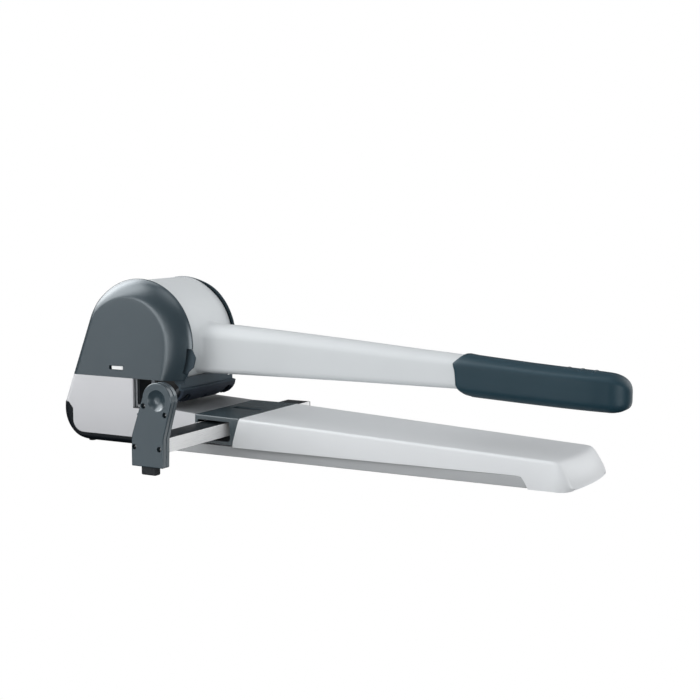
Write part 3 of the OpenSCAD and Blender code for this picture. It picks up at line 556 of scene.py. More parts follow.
def cover_outline(m=132):
    """Rim and face outlines in the X-Z plane, from the front foot over the top to the rear foot."""
    r = 69.6
    a_start = -math.degrees(math.asin((AZ - SEAM) / r))
    rim = arc(AX, AZ, r, a_start, 140, 84)
    # bend from the circle into the rear plane
    p0, p3 = np.array(rim[-1]), np.array([rearx(142.0), 142.0])
    t0 = np.array([-math.sin(math.radians(140)), math.cos(math.radians(140))])
    d1 = np.array([-0.39, -1.0]) / 1.0733
    for i in range(1, 9):
        t = i / 8
        c1, c2 = p0 + t0 * 4, p3 - d1 * 4
        rim.append(tuple((1 - t) ** 3 * p0 + 3 * (1 - t) ** 2 * t * c1 + 3 * (1 - t) * t * t * c2 + t ** 3 * p3))
    for i in range(1, 37):
        z = 142.0 + (SEAM - 142.0) * i / 36
        rim.append((rearx(z), z))
    rim = np.array(rim)
    # face outline: straight down at the front, a circle, then a line beside the rear plane
    cx, cz, rf = -25.2, 114.0, 48.0
    face = [(17.4, SEAM), (19.0, 80.0), (20.4, 86.0), (21.4, 92.0), (22.1, 98.0), (22.5, 104.0)]
    face += arc(cx, cz, rf, -6, 118, 70)
    last = np.array(face[-1])
    p3 = np.array([rearx(134) + 8.6, 134.0])
    t0 = np.array([-math.sin(math.radians(118)), math.cos(math.radians(118))])
    for i in range(1, 15):
        t = i / 14
        c1, c2 = last + t0 * 12, p3 - d1 * 10
        face.append(tuple((1 - t) ** 3 * last + 3 * (1 - t) ** 2 * t * c1 + 3 * (1 - t) * t * t * c2 + t ** 3 * p3))
    for i in range(1, 33):
        z = 134.0 + (SEAM - 134.0) * i / 32
        face.append((rearx(z) + 8.6, z))
    face = np.array(face)

    def resample(c, key, count):
        d = np.r_[0, np.cumsum(np.hypot(*np.diff(c, axis=0).T))]
        s = np.interp(key, np.linspace(0, 1, len(key)), key)
        return np.c_[np.interp(s * d[-1], d, c[:, 0]), np.interp(s * d[-1], d, c[:, 1])]

    # match by the direction of travel, so that spokes run square to the outline
    def heading(c):
        g = np.gradient(c, axis=0)
        return np.unwrap(np.arctan2(g[:, 1], g[:, 0]))

    d_r = np.r_[0, np.cumsum(np.hypot(*np.diff(rim, axis=0).T))]
    d_f = np.r_[0, np.cumsum(np.hypot(*np.diff(face, axis=0).T))]
    h_r, h_f = heading(rim), heading(face)
    # mix of arc length and heading keeps both ends exact
    k_r = 0.5 * d_r / d_r[-1] + 0.5 * (h_r - h_r[0]) / (h_r[-1] - h_r[0])
    k_f = 0.5 * d_f / d_f[-1] + 0.5 * (h_f - h_f[0]) / (h_f[-1] - h_f[0])
    k_r, k_f = np.maximum.accumulate(k_r + np.arange(len(k_r)) * 1e-9), np.maximum.accumulate(k_f + np.arange(len(k_f)) * 1e-9)
    q = np.linspace(0, 1, m)
    R = np.c_[np.interp(q, k_r, rim[:, 0]), np.interp(q, k_r, rim[:, 1])]
    F = np.c_[np.interp(q, k_f, face[:, 0]), np.interp(q, k_f, face[:, 1])]
    R[0], F[0], R[-1], F[-1] = rim[0], face[0], rim[-1], face[-1]
    return R, F


COVER_R, COVER_F = cover_outline()


def side_cover(s):
    R, F = COVER_R, COVER_F
    m = len(R)
    verts = []
    for i in range(m):
        ang = math.degrees(math.atan2(R[i][1] - AZ, R[i][0] - AX))
        if R[i][0] < AX and ang < 0:
            ang += 360
        w = smooth((ang - 95) / 55)          # 0 at the front and top, 1 along the rear
        low = 1 - 0.027 * smooth((ang - 46) / 30) * smooth((150 - ang) / 12) if s > 0 else 1.0
        for k in range(K):
            u = lerp(PROFILE_FRONT[k][0], PROFILE_REAR[k][0], w)
            v = lerp(PROFILE_FRONT[k][1], PROFILE_REAR[k][1], w)
            rx_, rz_ = AX + (R[i][0] - AX) * low, AZ + (R[i][1] - AZ) * low
            verts.append((rx_ + (F[i][0] - rx_) * v, s * (RIM_Y + (FACE_Y - RIM_Y) * u), rz_ + (F[i][1] - rz_) * v))
    # the face itself: three shrinking copies, then a fan, so that it stays flat and even
    cxy = np.array([-36.0, SEAM])
    cols = K
    for fac in (0.94, 0.6, 0.25):
        for i in range(m):
            p = np.array([F[i][0], F[i][1]])
            c = np.array([cxy[0], SEAM + (p[1] - SEAM) * 0.0])
            qx = c[0] + (p[0] - c[0]) * fac
            qz = SEAM + (p[1] - SEAM) * fac
            verts.append((qx, s * (FACE_Y + 0.0 * (1 - fac)), qz))
    faces = grid(m, cols)
    base = m * K

    def face_idx(level, i):
        return i * K + K - 1 if level == 0 else base + (level - 1) * m + i

    for level in range(3):
        for i in range(m - 1):
            faces.append((face_idx(level, i), face_idx(level, i + 1), face_idx(level + 1, i + 1), face_idx(level + 1, i)))
    verts.append((cxy[0], s * FACE_Y, SEAM))
    centre = len(verts) - 1
    for i in range(m - 1):
        faces.append((face_idx(3, i), face_idx(3, i + 1), centre))
    ob = mesh("side_cover_" + ("left" if s > 0 else "right") + "_shell", verts, faces, "slate_cover")
    # outward normals: the face looks along s*Y
    bm = bmesh.new()
    bm.from_mesh(ob.data)
    if sum(f.normal.y * s for f in bm.faces) < 0:
        bmesh.ops.reverse_faces(bm, faces=bm.faces)
    bm.to_mesh(ob.data)
    bm.free()
    vg = ob.vertex_groups.new(name="wall_share")
    for vert in ob.data.vertices:
        y = abs(vert.co.y) / MM
        vg.add([vert.index], 0.36 + 0.64 * smooth((y - RIM_Y - 0.15) / 3.0), "REPLACE")
    th = ob.modifiers.new("wall", "SOLIDIFY")
    th.thickness = 2.4 * MM
    th.offset = -1
    th.use_even_offset = False
    th.vertex_group = "wall_share"
    bake(ob)
    ob.vertex_groups.clear()
    tools = []
    # rim notch beside the guard cheek
    notch = [(AX + r * math.cos(math.radians(a)), AZ + r * math.sin(math.radians(a))) for r, a in
             [(60, -27), (76, -27), (76, -16), (76, -3), (60, -3), (60, -16)]]
    tools.append(poly_prism("tool_a", notch, [], "y", min(s * 38, s * 46), max(s * 38, s * 46), "slate_plastic"))
    if s < 0:
        slot = arc(-48.9, 83.6, 0.7, 180, 270, 3) + arc(-31.5, 83.6, 0.7, 270, 360, 3) + arc(-31.5, 86.9, 0.7, 0, 90, 3) + arc(-48.9, 86.9, 0.7, 90, 180, 3)
        tools.append(poly_prism("tool_b", slot, [], "y", -60, -48, "slate_plastic"))
    cut(ob, tools, 34)
    return ob


place(side_cover(1), "base", "side_cover_left")
place(side_cover(-1), "base", "side_cover_right")

# rear panel between the covers, with its two parting lines
rp = []
out_l = arc(AX, AZ, 68.6, 146.5, 150, 3) + [(rearx(z) + 0.15, z) for z in np.linspace(146, SEAM + 0.1, 16)]
inn_l = [(x + 0.9 + 1.5 * smooth((124 - z) / 20), z - 0.25) for x, z in out_l]
ys = [-41.6, -41.2, -30, -15, 0, 15, 30, 41.2, 41.6]
o, i_ = [], []
for x, z in out_l:
    for y in ys:
        d = 0.35 if abs(y) > 41.4 else 0.0
        o.append((x + d, y, z))
for x, z in inn_l:
    for y in ys:
        i_.append((x, y, z))
place(solid_between("rear_cover_panel", o, i_, len(out_l), len(ys), "slate_plastic", angle=40), "base", "rear_panel")


# ------------------------------------------------------------------ lower head: white housing
def plan_columns(xr, rho, x_front, half=53.5, n_side=6, xs=None):
    cols = []
    for x in xs:
        cols.append((x, -hx(x)))
    for i in range(9):
        a = math.radians(270 - 90 * i / 8)
        cols.append((xr + rho + rho * math.cos(a), -half + rho + rho * math.sin(a)))
    for y in np.linspace(-half + rho, half - rho, 11)[1:-1]:
        cols.append((xr, float(y)))
    for i in range(9):
        a = math.radians(180 - 90 * i / 8)
        cols.append((xr + rho + rho * math.cos(a), half - rho + rho * math.sin(a)))
    for x in reversed(xs):
        cols.append((x, hx(x)))
    return cols


def white_housing():
    rho = 10.0
    xs_side = [66.7, 58, 46, 34, 22, 13, 8, 0, -9, -18, -30, -45, -60, -75, -82]
    levels = []
    for z in [SEAM - 0.05, SEAM - 0.35, 74.0, 68, 60, 52, 46, 44.4]:
        levels.append((z, rearx(z)))
    levels += [(43.9, -115.9), (43.2, -115.4), (40, -112.6), (37.6, -110.4), (36.4, -109.6), (35, -109.5), (30, -109.5), (26, -109.5), (24, -109.5)]
    for i in range(1, 9):
        a = math.radians(180 + 90 * i / 8 * 0.98)
        levels.append((24 + 13.5 * math.sin(a), -96 + 13.5 * math.cos(a)))
    top_i = 6      # index of the level that the notch stops at
    zs = [l[0] for l in levels]
    # insert the notch level
    levels.insert(7, (42.5 + 1.9, rearx(44.4)))
    rows = []
    for z, xr in levels:
        rows.append((z, xr, plan_columns(xr, rho, None, xs=xs_side)))
    nc = len(rows[0][2])
    front = [j for j in range(nc) if rows[0][2][j][0] > -18.01]
    verts, faces = [], []
    zt = 42.5
    zlist = sorted(set([r[0] for r in rows] + [zt]), reverse=True)
    table = []
    for z in zlist:
        if z > 43.7:
            xr = rearx(z)
        elif z > 36.4:
            xr = lerp(-109.6, -115.9, (z - 36.4) / 7.3)
        elif z >= 24:
            xr = -109.5
        else:
            xr = -96 - math.sqrt(max(0, 13.5 ** 2 - (24 - z) ** 2))
        table.append((z, plan_columns(xr, rho, None, xs=xs_side)))
    for z, cols in table:
        for x, y in cols:
            verts.append((x, y, z))
    for i in range(len(table) - 1):
        for j in range(nc - 1):
            x0, x1 = table[i][1][j][0], table[i][1][j + 1][0]
            if table[i + 1][0] >= zt - 1e-6 and max(x0, x1) > -17.9 and abs(table[i][1][j][1]) > 53.4:
                continue
            a = i * nc + j
            faces.append((a, a + 1, a + nc + 1, a + nc))
    # the low wall beside the table, up to just under its face
    iz = [k for k, (z, _) in enumerate(table) if abs(z - zt) < 1e-6][0]
    for side in (0, 1):
        js = [j for j in range(nc) if table[iz][1][j][0] > 7.9 and ((table[iz][1][j][1] < 0) == (side == 0))]
        tops = {}
        for j in js:
            x, y = table[iz][1][j]
            if x < 8.1:
                tops[j] = iz * nc + j
            else:
                verts.append((x, y, tz(x) - 0.35))
                tops[j] = len(verts) - 1
        for a, b in zip(js, js[1:]):
            ids = [iz * nc + a, iz * nc + b, tops[b], tops[a]]
            ids = [v for k, v in enumerate(ids) if v not in ids[:k]]
            faces.append(tuple(ids))
    ob = mesh("head_housing_shell", verts, faces, "light_shell")
    bm = bmesh.new()
    bm.from_mesh(ob.data)
    if sum(f.normal.y * (1 if f.calc_center_median().y > 0 else -1) for f in bm.faces) < 0:
        bmesh.ops.reverse_faces(bm, faces=bm.faces)
    bm.to_mesh(ob.data)
    bm.free()
    th = ob.modifiers.new("wall", "SOLIDIFY")
    th.thickness = 2.9 * MM
    th.offset = -1
    th.use_even_offset = True
    bake(ob)
    # window for the chip tray
    t = poly_prism("tool_c", [(-46.6, 6), (46.6, 6), (46.6, 34.6), (-46.6, 34.6)], [], "x", -125, -100, "light_shell")
    cut(ob, [t], 30)
    bevel(ob, 0.45, 2, 40)
    return ob


place(white_housing(), "base", "rear_housing")

# moulded plug on the housing's side, below the paper throat
for s in (-1, 1):
    place(rod("side_plug_" + ("left" if s > 0 else "right"), "y", (-11.6, 36.1), 1.25, min(s * 53.0, s * 53.95), max(s * 53.0, s * 53.95), "slate_plastic", 24, 0.25), "base")


# ------------------------------------------------------------------ dark lower shell
def lower_shell():
    """Levels of a rounded plan outline: the rear swells out to a bow and rolls under into the flat bottom."""
    rho, cx, cz, r = 10.0, -84.0, 35.3, 33.4
    xs_side = [20.2, 10, -10, -30, -50, -70, -84, -92]
    prof = [(43.65, -116.2), (43.2, -116.75), (42.4, -117.0), (40.5, -117.2), (37.5, -117.35)]
    for a in list(range(180, 268, 4)) + [268, 270]:
        prof.append((cz + r * math.sin(math.radians(a)), cx + r * math.cos(math.radians(a))))
    rows = []
    for z, xr in prof:
        d = 0.0
        if z < 7.4:
            d = 5.6 - math.sqrt(max(0.0, 5.6 ** 2 - (7.5 - z) ** 2)) if z > 1.9 else 5.6
        h = 53.3 - d
        if z > 43.3:
            h -= 0.3
        rr_ = rho
        cols = [(min(x, 20.2), -h) for x in xs_side if x > xr + rr_ + 0.5]
        cols += [(xr + rr_ + 0.4, -h)] * (len(xs_side) - len(cols))
        for i in range(9):
            a = math.radians(270 - 90 * i / 8)
            cols.append((xr + rr_ + rr_ * math.cos(a), -h + rr_ + rr_ * math.sin(a)))
        for y in np.linspace(-h + rr_, h - rr_, 9)[1:-1]:
            cols.append((xr, float(y)))
        for i in range(9):
            a = math.radians(180 - 90 * i / 8)
            cols.append((xr + rr_ + rr_ * math.cos(a), h - rr_ + rr_ * math.sin(a)))
        right = [(min(x, 20.2), h) for x in xs_side if x > xr + rr_ + 0.5]
        cols += [(xr + rr_ + 0.4, h)] * (len(xs_side) - len(right)) + right[::-1]
        rows.append([(x, y, z) for x, y in cols])
    nc = len(rows[0])
    v = [p for q in rows for p in q]
    f = grid(len(rows), nc)
    f.append(tuple(range((len(rows) - 1) * nc, len(rows) * nc)))
    ob = mesh("lower_shell_tub", v, f, "dark_plastic")
    bm = bmesh.new()
    bm.from_mesh(ob.data)
    if sum(fc.normal.z * fc.calc_area() for fc in bm.faces) > 0:
        bmesh.ops.reverse_faces(bm, faces=bm.faces)
    bm.to_mesh(ob.data)
    bm.free()
    th = ob.modifiers.new("wall", "SOLIDIFY")
    th.thickness = 2.2 * MM
    th.offset = -1
    bake(ob)
    t1 = poly_prism("tool_d", [(-46.6, 6.3), (46.6, 6.3), (46.6, 34.7), (-46.6, 34.7)], [], "x", -125, -98, "dark_plastic")
    cut(ob, [t1], 40)
    return ob


place(lower_shell(), "base", "bottom_shell")


# ------------------------------------------------------------------ table plate and its die bushes
def table():
    xs = np.r_[-17.8, -12, -6, 0, 6, 13, 20, 30, 45, 60, 66.4]
    inset = 1.6
    outline = [(float(x), -(hx(x) - inset)) for x in xs] + [(float(x), hx(x) - inset) for x in xs[::-1]]
    v, f = [], []
    rows = list(xs)
    cols = [-1.0, -0.985, -0.8, -0.5, 0, 0.5, 0.8, 0.985, 1.0]
    out, inn = [], []
    for x in rows:
        for c in cols:
            y = c * (hx(x) - inset)
            if x < -14.8 and abs(y) > 46.2:
                y = math.copysign(46.2, y)
            out.append((x, y, tz(x)))
            inn.append((x, y, tz(x) - 3.8))
    ob = solid_between("punching_table", out, inn, len(rows), len(cols), "table_metal", angle=30)
    tools = [rod("tool_h%d" % k, "z", (0, s * 40), 6.0, 38, 50, "steel", 48) for k, s in enumerate((-1, 1))]
    cut(ob, tools, 30)
    bevel(ob, 0.35, 2, 30)
    return ob


place(table(), "base", "table_plate")


# ------------------------------------------------------------------ base body with the nose
def base_body():
    st = [(123.45, 42.5, 60.6, 62.6), (150, None, None, None), (185, None, None, None), (220, None, None, None), (260, None, None, None), (300, None, None, None),
          (340, None, None, None), (380, None, None, None), (410, None, None, None), (430, None, None, None), (436, None, None, None), (440, None, None, None),
          (444, None, None, None), (450, None, None, None), (456, None, None, None), (460, None, None, None)]
    stations = []
    for x, *_ in st:
        stations.append((x, 42.5 - (x - 123.3) * 15.0 / 343, lerp(60.6, 50.6, (x - 123.3) / 343), interp(x, [123, 300, 446, 470], [62.6, 60.9, 59.6, 59.4])))
    nose = [(464, 27.5, 50.5, 59.6), (467, 27.1, 50.2, 59.8), (469.3, 26.3, 49.8, 59.9), (471.6, 24.3, 49.4, 59.9), (473.8, 21.6, 49.0, 59.7), (475.9, 18.6, 48.5, 59.2),
            (477.9, 15.3, 48.0, 58.3), (479.7, 11.9, 47.4, 57.0), (481.1, 8.6, 46.8, 55.2), (482.2, 5.6, 46.1, 53.0), (483.0, 3.2, 45.2, 50.4), (483.6, 1.5, 44.2, 47.8), (483.9, 1.0, 43.2, 45.4)]
    stations += nose
    out, inn = [], []
    rows = []
    nt, ns = 17, 9

    def section(x, zt, c, b, off=0.0):
        zb = interp(x, [123, 434, 436, 438.5, 440.6, 441.7, 442.2, 500], [12.0, 12.0, 11.2, 9.2, 5.6, 2.6, 0.65, 0.65])
        zb = min(zb, zt - 0.05)
        rc = min(3.6, (zt - 0.65) * 0.5 + 0.05)
        side = np.array([b - c, -(zt - min(zb, zt))])
        # unit vector down the side, to the full lower edge
        full = np.array([b - c, -(zt - 0.65)])
        full_len = np.hypot(*full)
        d = full / full_len
        ln = (zt - zb) / (zt - 0.65) * full_len
        pts = []
        # side, from below up to the corner
        for i in range(ns):
            t = ln - (ln - min(rc, ln * 0.6)) * i / (ns - 1)
            bulge = (0.5 + 1.5 * smooth((x - 462) / 14)) * math.sin(math.pi * t / full_len)
            pts.append((c + d[0] * t + bulge * -d[1], zt + d[1] * t + bulge * d[0]))
        r2 = min(rc, ln * 0.6)
        p0, p1, p2 = np.array(pts[-1]), np.array([c, zt]), np.array([c - r2, zt])
        for i in range(1, 6):
            t = i / 6
            pts.append(tuple((1 - t) ** 2 * p0 + 2 * t * (1 - t) * p1 + t * t * p2))
        # top, with a slight crown
        for i in range(nt):
            y = (c - r2) * (1 - i / (nt - 1))
            crown = 0.45 * (1 - (y / (c - r2)) ** 2) * smooth((x - 123) / 40)
            pts.append((y, zt + crown))
        full_pts = [(-y, z) for y, z in pts] + [(y, z) for y, z in reversed(pts[:-1])]
        res = []
        bow_w = smooth((x - 452) / 30)
        for y, z in full_pts:
            bow = 5.0 * bow_w * (1 - min(1, (abs(y) / 47.0)) ** 2)
            lean = 0.265 * max(0.0, 42.3 - max(z, 16.0)) * (1 if x < 124 else 0)
            res.append((x + bow - lean, y, max(z, 0.65)))
        return res

    for x, zt, c, b in stations:
        rows.append(section(x, zt, c, b))
    nc = len(rows[0])
    inner = []
    for r in rows:
        zb, zt = min(q[2] for q in r), max(q[2] for q in r)
        for x, y, z in r:
            up = (z - zb) / (zt - zb)
            inner.append((x - 2.6 * smooth((x - 466) / 14), y * (1 - 2.4 / 58), z - min(2.6, 0.9 * (zt - zb)) * up))
    return solid_between("base_cover_shell", [q for r in rows for q in r], inner, len(rows), nc, "base_shell", angle=40)


place(base_body(), "base", "front_housing")


# ------------------------------------------------------------------ under plate (the lower half below the skirt)
def under_plate():
    pr = [(20.3, 1.05), (20.3, 10.3), (66.7, 10.3), (66.9, 11.9), (431, 11.9)] + arc(431, 1.05, 10.85, 82, 0, 12)
    # the under plate takes the darker copy of the base finish, a painted shade for the shade below the skirt
    ob = poly_prism("base_lower_plate", pr, [], "y", -57, 57, "base_shell_painted_shade")
    return bevel(ob, 0.8, 3, 35)


place(under_plate(), "base", "under_plate")


# ------------------------------------------------------------------ saddle over the guide rail
def saddle():
    x0, x1 = 66.8, 123.2
    n = 15
    out = []
    rows = []
    for x in (x0, x0 + 0.5, x0 + 1.2, 80, 95, 110, x1 - 1.0, x1 - 0.4, x1):
        t = (x - x0) / (x1 - x0)
        c = lerp(58.0, 60.6, t)
        b = lerp(59.2, 62.2, t)
        ztop = lerp(43.1, 42.5, t)
        drop = {x0: 0.7, x0 + 0.5: 0.2}.get(x, 0.0)
        if x == x1:
            drop = 0.35
        pts = []
        zb = 14.0
        d = np.array([b - c, -(ztop - zb)])
        ln = np.hypot(*d)
        d /= ln
        for i in range(7):
            s_ = ln - (ln - 1.6) * i / 6
            pts.append((c + d[0] * s_ - drop, ztop + d[1] * s_))
        p0, p1, p2 = np.array([c + d[0] * 1.6 - drop, ztop + d[1] * 1.6]), np.array([c - drop * 0.7, ztop - drop * 0.7]), np.array([c - 1.6, ztop - drop])
        for i in range(1, 5):
            u = i / 5
            pts.append(tuple((1 - u) ** 2 * p0 + 2 * u * (1 - u) * p1 + u * u * p2))
        for i in range(n):
            pts.append(((c - 1.6) * (1 - i / (n - 1)), ztop - drop))
        full = [(-y, z) for y, z in pts] + [(y, z) for y, z in reversed(pts[:-1])]
        rows.append([(x - t * 0.265 * max(0.0, 42.3 - max(z, 16.0)), y, z) for y, z in full])
    nc = len(rows[0])
    ob = mesh("rail_saddle_shell", [p for r in rows for p in r], grid(len(rows), nc), "slate_plastic", weld=False)
    bm = bmesh.new()
    bm.from_mesh(ob.data)
    if sum(fc.normal.z for fc in bm.faces) < 0:
        bmesh.ops.reverse_faces(bm, faces=bm.faces)
    bm.to_mesh(ob.data)
    bm.free()
    th = ob.modifiers.new("wall", "SOLIDIFY")
    th.thickness = 2.3 * MM
    th.offset = -1
    bake(ob)
    tools = []
    mouth = arc(73.0, 20.2, 3.0, 180, 270, 5) + arc(109.4, 20.9, 3.7, 270, 368, 7) + arc(109.9, 36.6, 1.4, 8, 90, 4) + arc(71.2, 36.6, 1.4, 90, 180, 4)
    for k, s in enumerate((-1, 1)):
        tools.append(poly_prism("tool_m%d" % k, mouth, [], "y", min(s * 50, s * 70), max(s * 50, s * 70), "slate_plastic"))
    win = [(76, -4), (112, -4), (112, 8), (76, 8)]
    tools.append(poly_prism("tool_w", win, [], "z", 36, 50, "slate_plastic"))
    cut(ob, tools, 30)
    bevel(ob, 0.35, 2, 40)
    return ob


place(saddle(), "base", "rail_housing")
o = poly_prism("scale_window_lens", [(76.2, -3.8), (111.8, -3.8), (111.8, 7.8), (76.2, 7.8)], [], "z", 40.3, 41.5, "clear_lens")
place(bevel(o, 0.4, 3, 30), "base", "window_lens")


# ------------------------------------------------------------------ lever: drum, arm and its flared root
def arm_dims(x):
    xs = [38, 93, 150, 232, 300, 345, 362]
    w = interp(x, xs, [20, 20, 19.4, 18.5, 17.6, 17.0, 16.8])
    z0 = interp(x, xs, [80.0, 81.7, 82.3, 83.0, 83.2, 83.3, 83.3])
    z1 = interp(x, xs, [136.0, 132.8, 129.6, 124.4, 119.6, 116.8, 115.8])
    cr = interp(x, xs, [14.0, 11.5, 10.0, 9.0, 8.2, 7.4, 7.2])
    return w, z0, z1, cr


def bar_section(w, z0, z1, cr, rb=6.5, rc=3.4):
    """Half of a bar's section: a crowned top, a soft crease, flat sides, round lower corners."""
    pts = []
    yc, zc = w, z1 - cr
    p_top = (w - rc * 1.15, None)
    nd = 14
    edge_y = w - rc
    edge_z = z1 - cr * (edge_y / w) ** 2.3
    for i in range(nd):
        y = edge_y * math.sin(math.pi / 2 * i / (nd - 1)) if i else 0.0
        pts.append((y, z1 - cr * (y / w) ** 2.3))
    p0 = np.array(pts[-1])
    p1 = np.array([w, zc + 0.55])
    p2 = np.array([w, zc - rc])
    for i in range(1, 8):
        t = i / 7
        pts.append(tuple((1 - t) ** 2 * p0 + 2 * t * (1 - t) * p1 + t * t * p2))
    for i in range(1, 7):
        pts.append((w, lerp(zc - rc, z0 + rb, i / 6)))
    for i in range(1, 9):
        a = math.radians(-90 * i / 8)
        pts.append((w - rb + rb * math.cos(a), z0 + rb + rb * math.sin(a)))
    for i in range(1, 4):
        pts.append(((w - rb) * (1 - i / 3), z0))
    return pts


def full_section(half):
    return half + [(-y, z) for y, z in reversed(half[1:-1])]


def lever_arm():
    rr = []
    # flared root: from the drum's face out to a plain section
    x_a = 78.0
    w, z0, z1, cr = arm_dims(x_a)
    sec = full_section(bar_section(w, z0, z1, cr))
    n = len(sec)
    s2 = np.array(sec)
    tan = np.roll(s2, -1, axis=0) - np.roll(s2, 1, axis=0)
    nor = np.c_[tan[:, 1], -tan[:, 0]]
    cen = np.array([0, (z0 + z1) / 2])
    for i in range(n):
        if np.dot(nor[i], s2[i] - cen) < 0:
            nor[i] *= -1
        nor[i] /= max(1e-9, np.hypot(*nor[i]))
    R = 65.0
    root = []
    for i in range(n):
        y, z = s2[i]
        ny, nz = nor[i]
        xq = AX + math.sqrt(R * R - (z - AZ) ** 2)
        q = np.array([xq, y, z])
        rho = 6.5 * abs(ny) ** 1.2 + (6.0 if nz > 0 else 0.8) * abs(nz) ** 1.5
        a0 = math.atan2(z - AZ, xq - AX)
        a1 = a0 + nz * (6.0 if nz > 0 else 0.8) * abs(nz) ** 0.5 / R
        yd = y + ny * rho
        yd = max(-40.8, min(40.8, yd))
        a1 = max(a1, math.radians(-33.5))
        if abs(yd) > 38.5:
            pass
        d = np.array([AX + (R - 0.12) * math.cos(a1), yd, AZ + (R - 0.12) * math.sin(a1)])
        far = np.array([xq + max(6.0, rho * 1.15), y, z])
        root.append((d, q, far))
    steps = 14
    for k in range(steps):
        t = k / (steps - 1)
        rr.append([tuple((1 - t) ** 2 * d + 2 * t * (1 - t) * q + t * t * far) for d, q, far in root])
    for x in (84, 93, 110, 130, 150, 175, 200, 232, 265, 300, 325, 345, 352, 359):
        w, z0, z1, cr = arm_dims(x)
        rr.append([(x, y, z) for y, z in full_section(bar_section(w, z0, z1, cr))])
    return rings("lever_arm_shell", rr, "lever_paint", caps=(False, True))


def drum():
    """The round head of the lever, as a closed curved shell with soft edges."""
    R, r = 65.0, 62.2
    angs = np.r_[-34.5, -34.2, -33.5, np.linspace(-32, 1.4, 26), 2.0, np.linspace(3, 144, 100), 144.6, 145.0]
    prof_out = [(-1.0, 0.75), (-0.995, 0.35), (-0.985, 0.1), (-0.965, 0.0), (-0.8, 0), (-0.5, 0), (-0.25, 0), (0, 0), (0.25, 0), (0.5, 0), (0.8, 0), (0.965, 0.0), (0.985, 0.1), (0.995, 0.35), (1.0, 0.75)]
    out, inn = [], []
    for a in angs:
        hwid = 38.8 if a < 1.9 else 41.5
        edge = 0.35 if a in (angs[0], angs[-1]) else 0.0
        for u, d in prof_out:
            rad = R - d - edge + 2.2 * smooth((a - 50) / 36)
            y = u * hwid
            c, s = math.cos(math.radians(a)), math.sin(math.radians(a))
            out.append((AX + rad * c, y, AZ + rad * s))
            inn.append((AX + r * c, y, AZ + r * s))
    return solid_between("lever_drum_shell", out, inn, len(angs), len(prof_out), "lever_paint", angle=38)


place(lever_arm(), "lever", "lever_shell")
place(drum(), "lever", "lever_shell")


# ------------------------------------------------------------------ grip
def grip():
    rr = []

    def dims(x):
        xs = [345, 352, 380, 420, 452, 480, 500, 508]
        z1 = interp(x, xs, [117.6, 117.9, 115.6, 112.6, 110.6, 109.2, 108.0, 107.4])
        z0 = interp(x, xs, [76.9, 76.8, 75.4, 73.6, 72.3, 71.3, 70.6, 70.4])
        w = interp(x, [345, 352, 380, 420, 455, 470, 478, 485, 490, 496, 502], [18.6, 19.0, 19.4, 19.5, 19.5, 19.4, 19.15, 18.75, 18.3, 17.6, 16.7])
        cr = interp(x, xs, [8.0, 7.9, 7.0, 6.4, 6.0, 5.8, 5.8, 5.9])
        return w, z0, z1, cr

    def sec(x, sh=0.0):
        w, z0, z1, cr = dims(x)
        return full_section(bar_section(w - sh, z0 + sh, z1 - sh, cr, rb=9.5, rc=3.6))

    # start edge: furthest back at the crease, leaning forward over the top and under the arm
    base = sec(352)
    w, z0, z1, cr = dims(352)
    zc = z1 - cr

    def start_x(y, z):
        if z > zc:
            return 346.2 + 7.0 * ((z - zc) / cr) ** 0.9
        t = (zc - z) / (zc - z0)
        return 346.2 + interp(t, [0, 0.25, 0.5, 0.72, 0.82, 0.92, 1.0], [0, 2.2, 3.0, 3.6, 5.4, 9.0, 13.5])

    aw, az0, az1, acr = arm_dims(350)
    arm_sec = full_section(bar_section(aw, az0, az1, acr))
    # rings: on the arm's skin, then rising to the grip's own section
    g352 = np.array(base)
    a352 = np.array(arm_sec)
    for lift, dx in ((-0.04, 0.0), (0.25, 0.05), (0.6, 0.4), (0.85, 1.2), (0.96, 2.4), (1.0, 4.5)):
        ring = []
        for i in range(len(g352)):
            p = a352[i] + (g352[i] - a352[i]) * lift
            sx = start_x(*g352[i])
            ring.append((sx + dx, p[0], p[1]))
        rr.append(ring)
    last = rr[-1]
    for x in (366, 374, 385, 400, 420, 440, 455, 470, 478, 485, 490, 496, 502):
        s_ = sec(x)
        blend = smooth((x - 360) / 14)
        rr.append([(x, y, z) for y, z in s_])
    # rounded end
    w, z0, z1, cr = dims(502)
    s502 = np.array(sec(502))
    mid = np.array([0.0, 88.0])
    for k in range(1, 13):
        a = math.pi / 2 * k / 12
        ky = math.cos(a) ** 0.97
        kz = math.cos(a) ** 0.62
        cz_ = mid[1] - 1.6 * math.sin(a)
        x = 502 + 21.7 * math.sin(a)
        if k == 12:
            ky, kz = 0.02, 0.03
        rr.append([(x, p[0] * ky, cz_ + (p[1] - mid[1]) * kz) for p in s502])
    ob = rings("grip_sleeve", rr, "grip_rubber", caps=(True, True))
    return ob


place(grip(), "lever", "grip")
# three small ribs across the top of the grip
for k, x in enumerate((460.0, 473.6, 487.4)):
    zt_ = interp(x, [452, 480, 500], [110.6, 109.2, 108.0])
    rr = []
    for j in range(9):
        y = -9 + 18 * j / 8
        zc_ = zt_ - 6.0 * (abs(y) / 19.5) ** 2.3
        ring = []
        end = 1 - (abs(y) / 9.0) ** 6
        for i in range(12):
            a = 2 * math.pi * i / 12
            ring.append((x + 1.5 * math.cos(a), y, zc_ - 0.35 + (0.85 * end + 0.1) * math.sin(a)))
        rr.append(ring)
    place(rings("grip_rib_%d" % (k + 1), rr, "grip_rubber"), "lever")


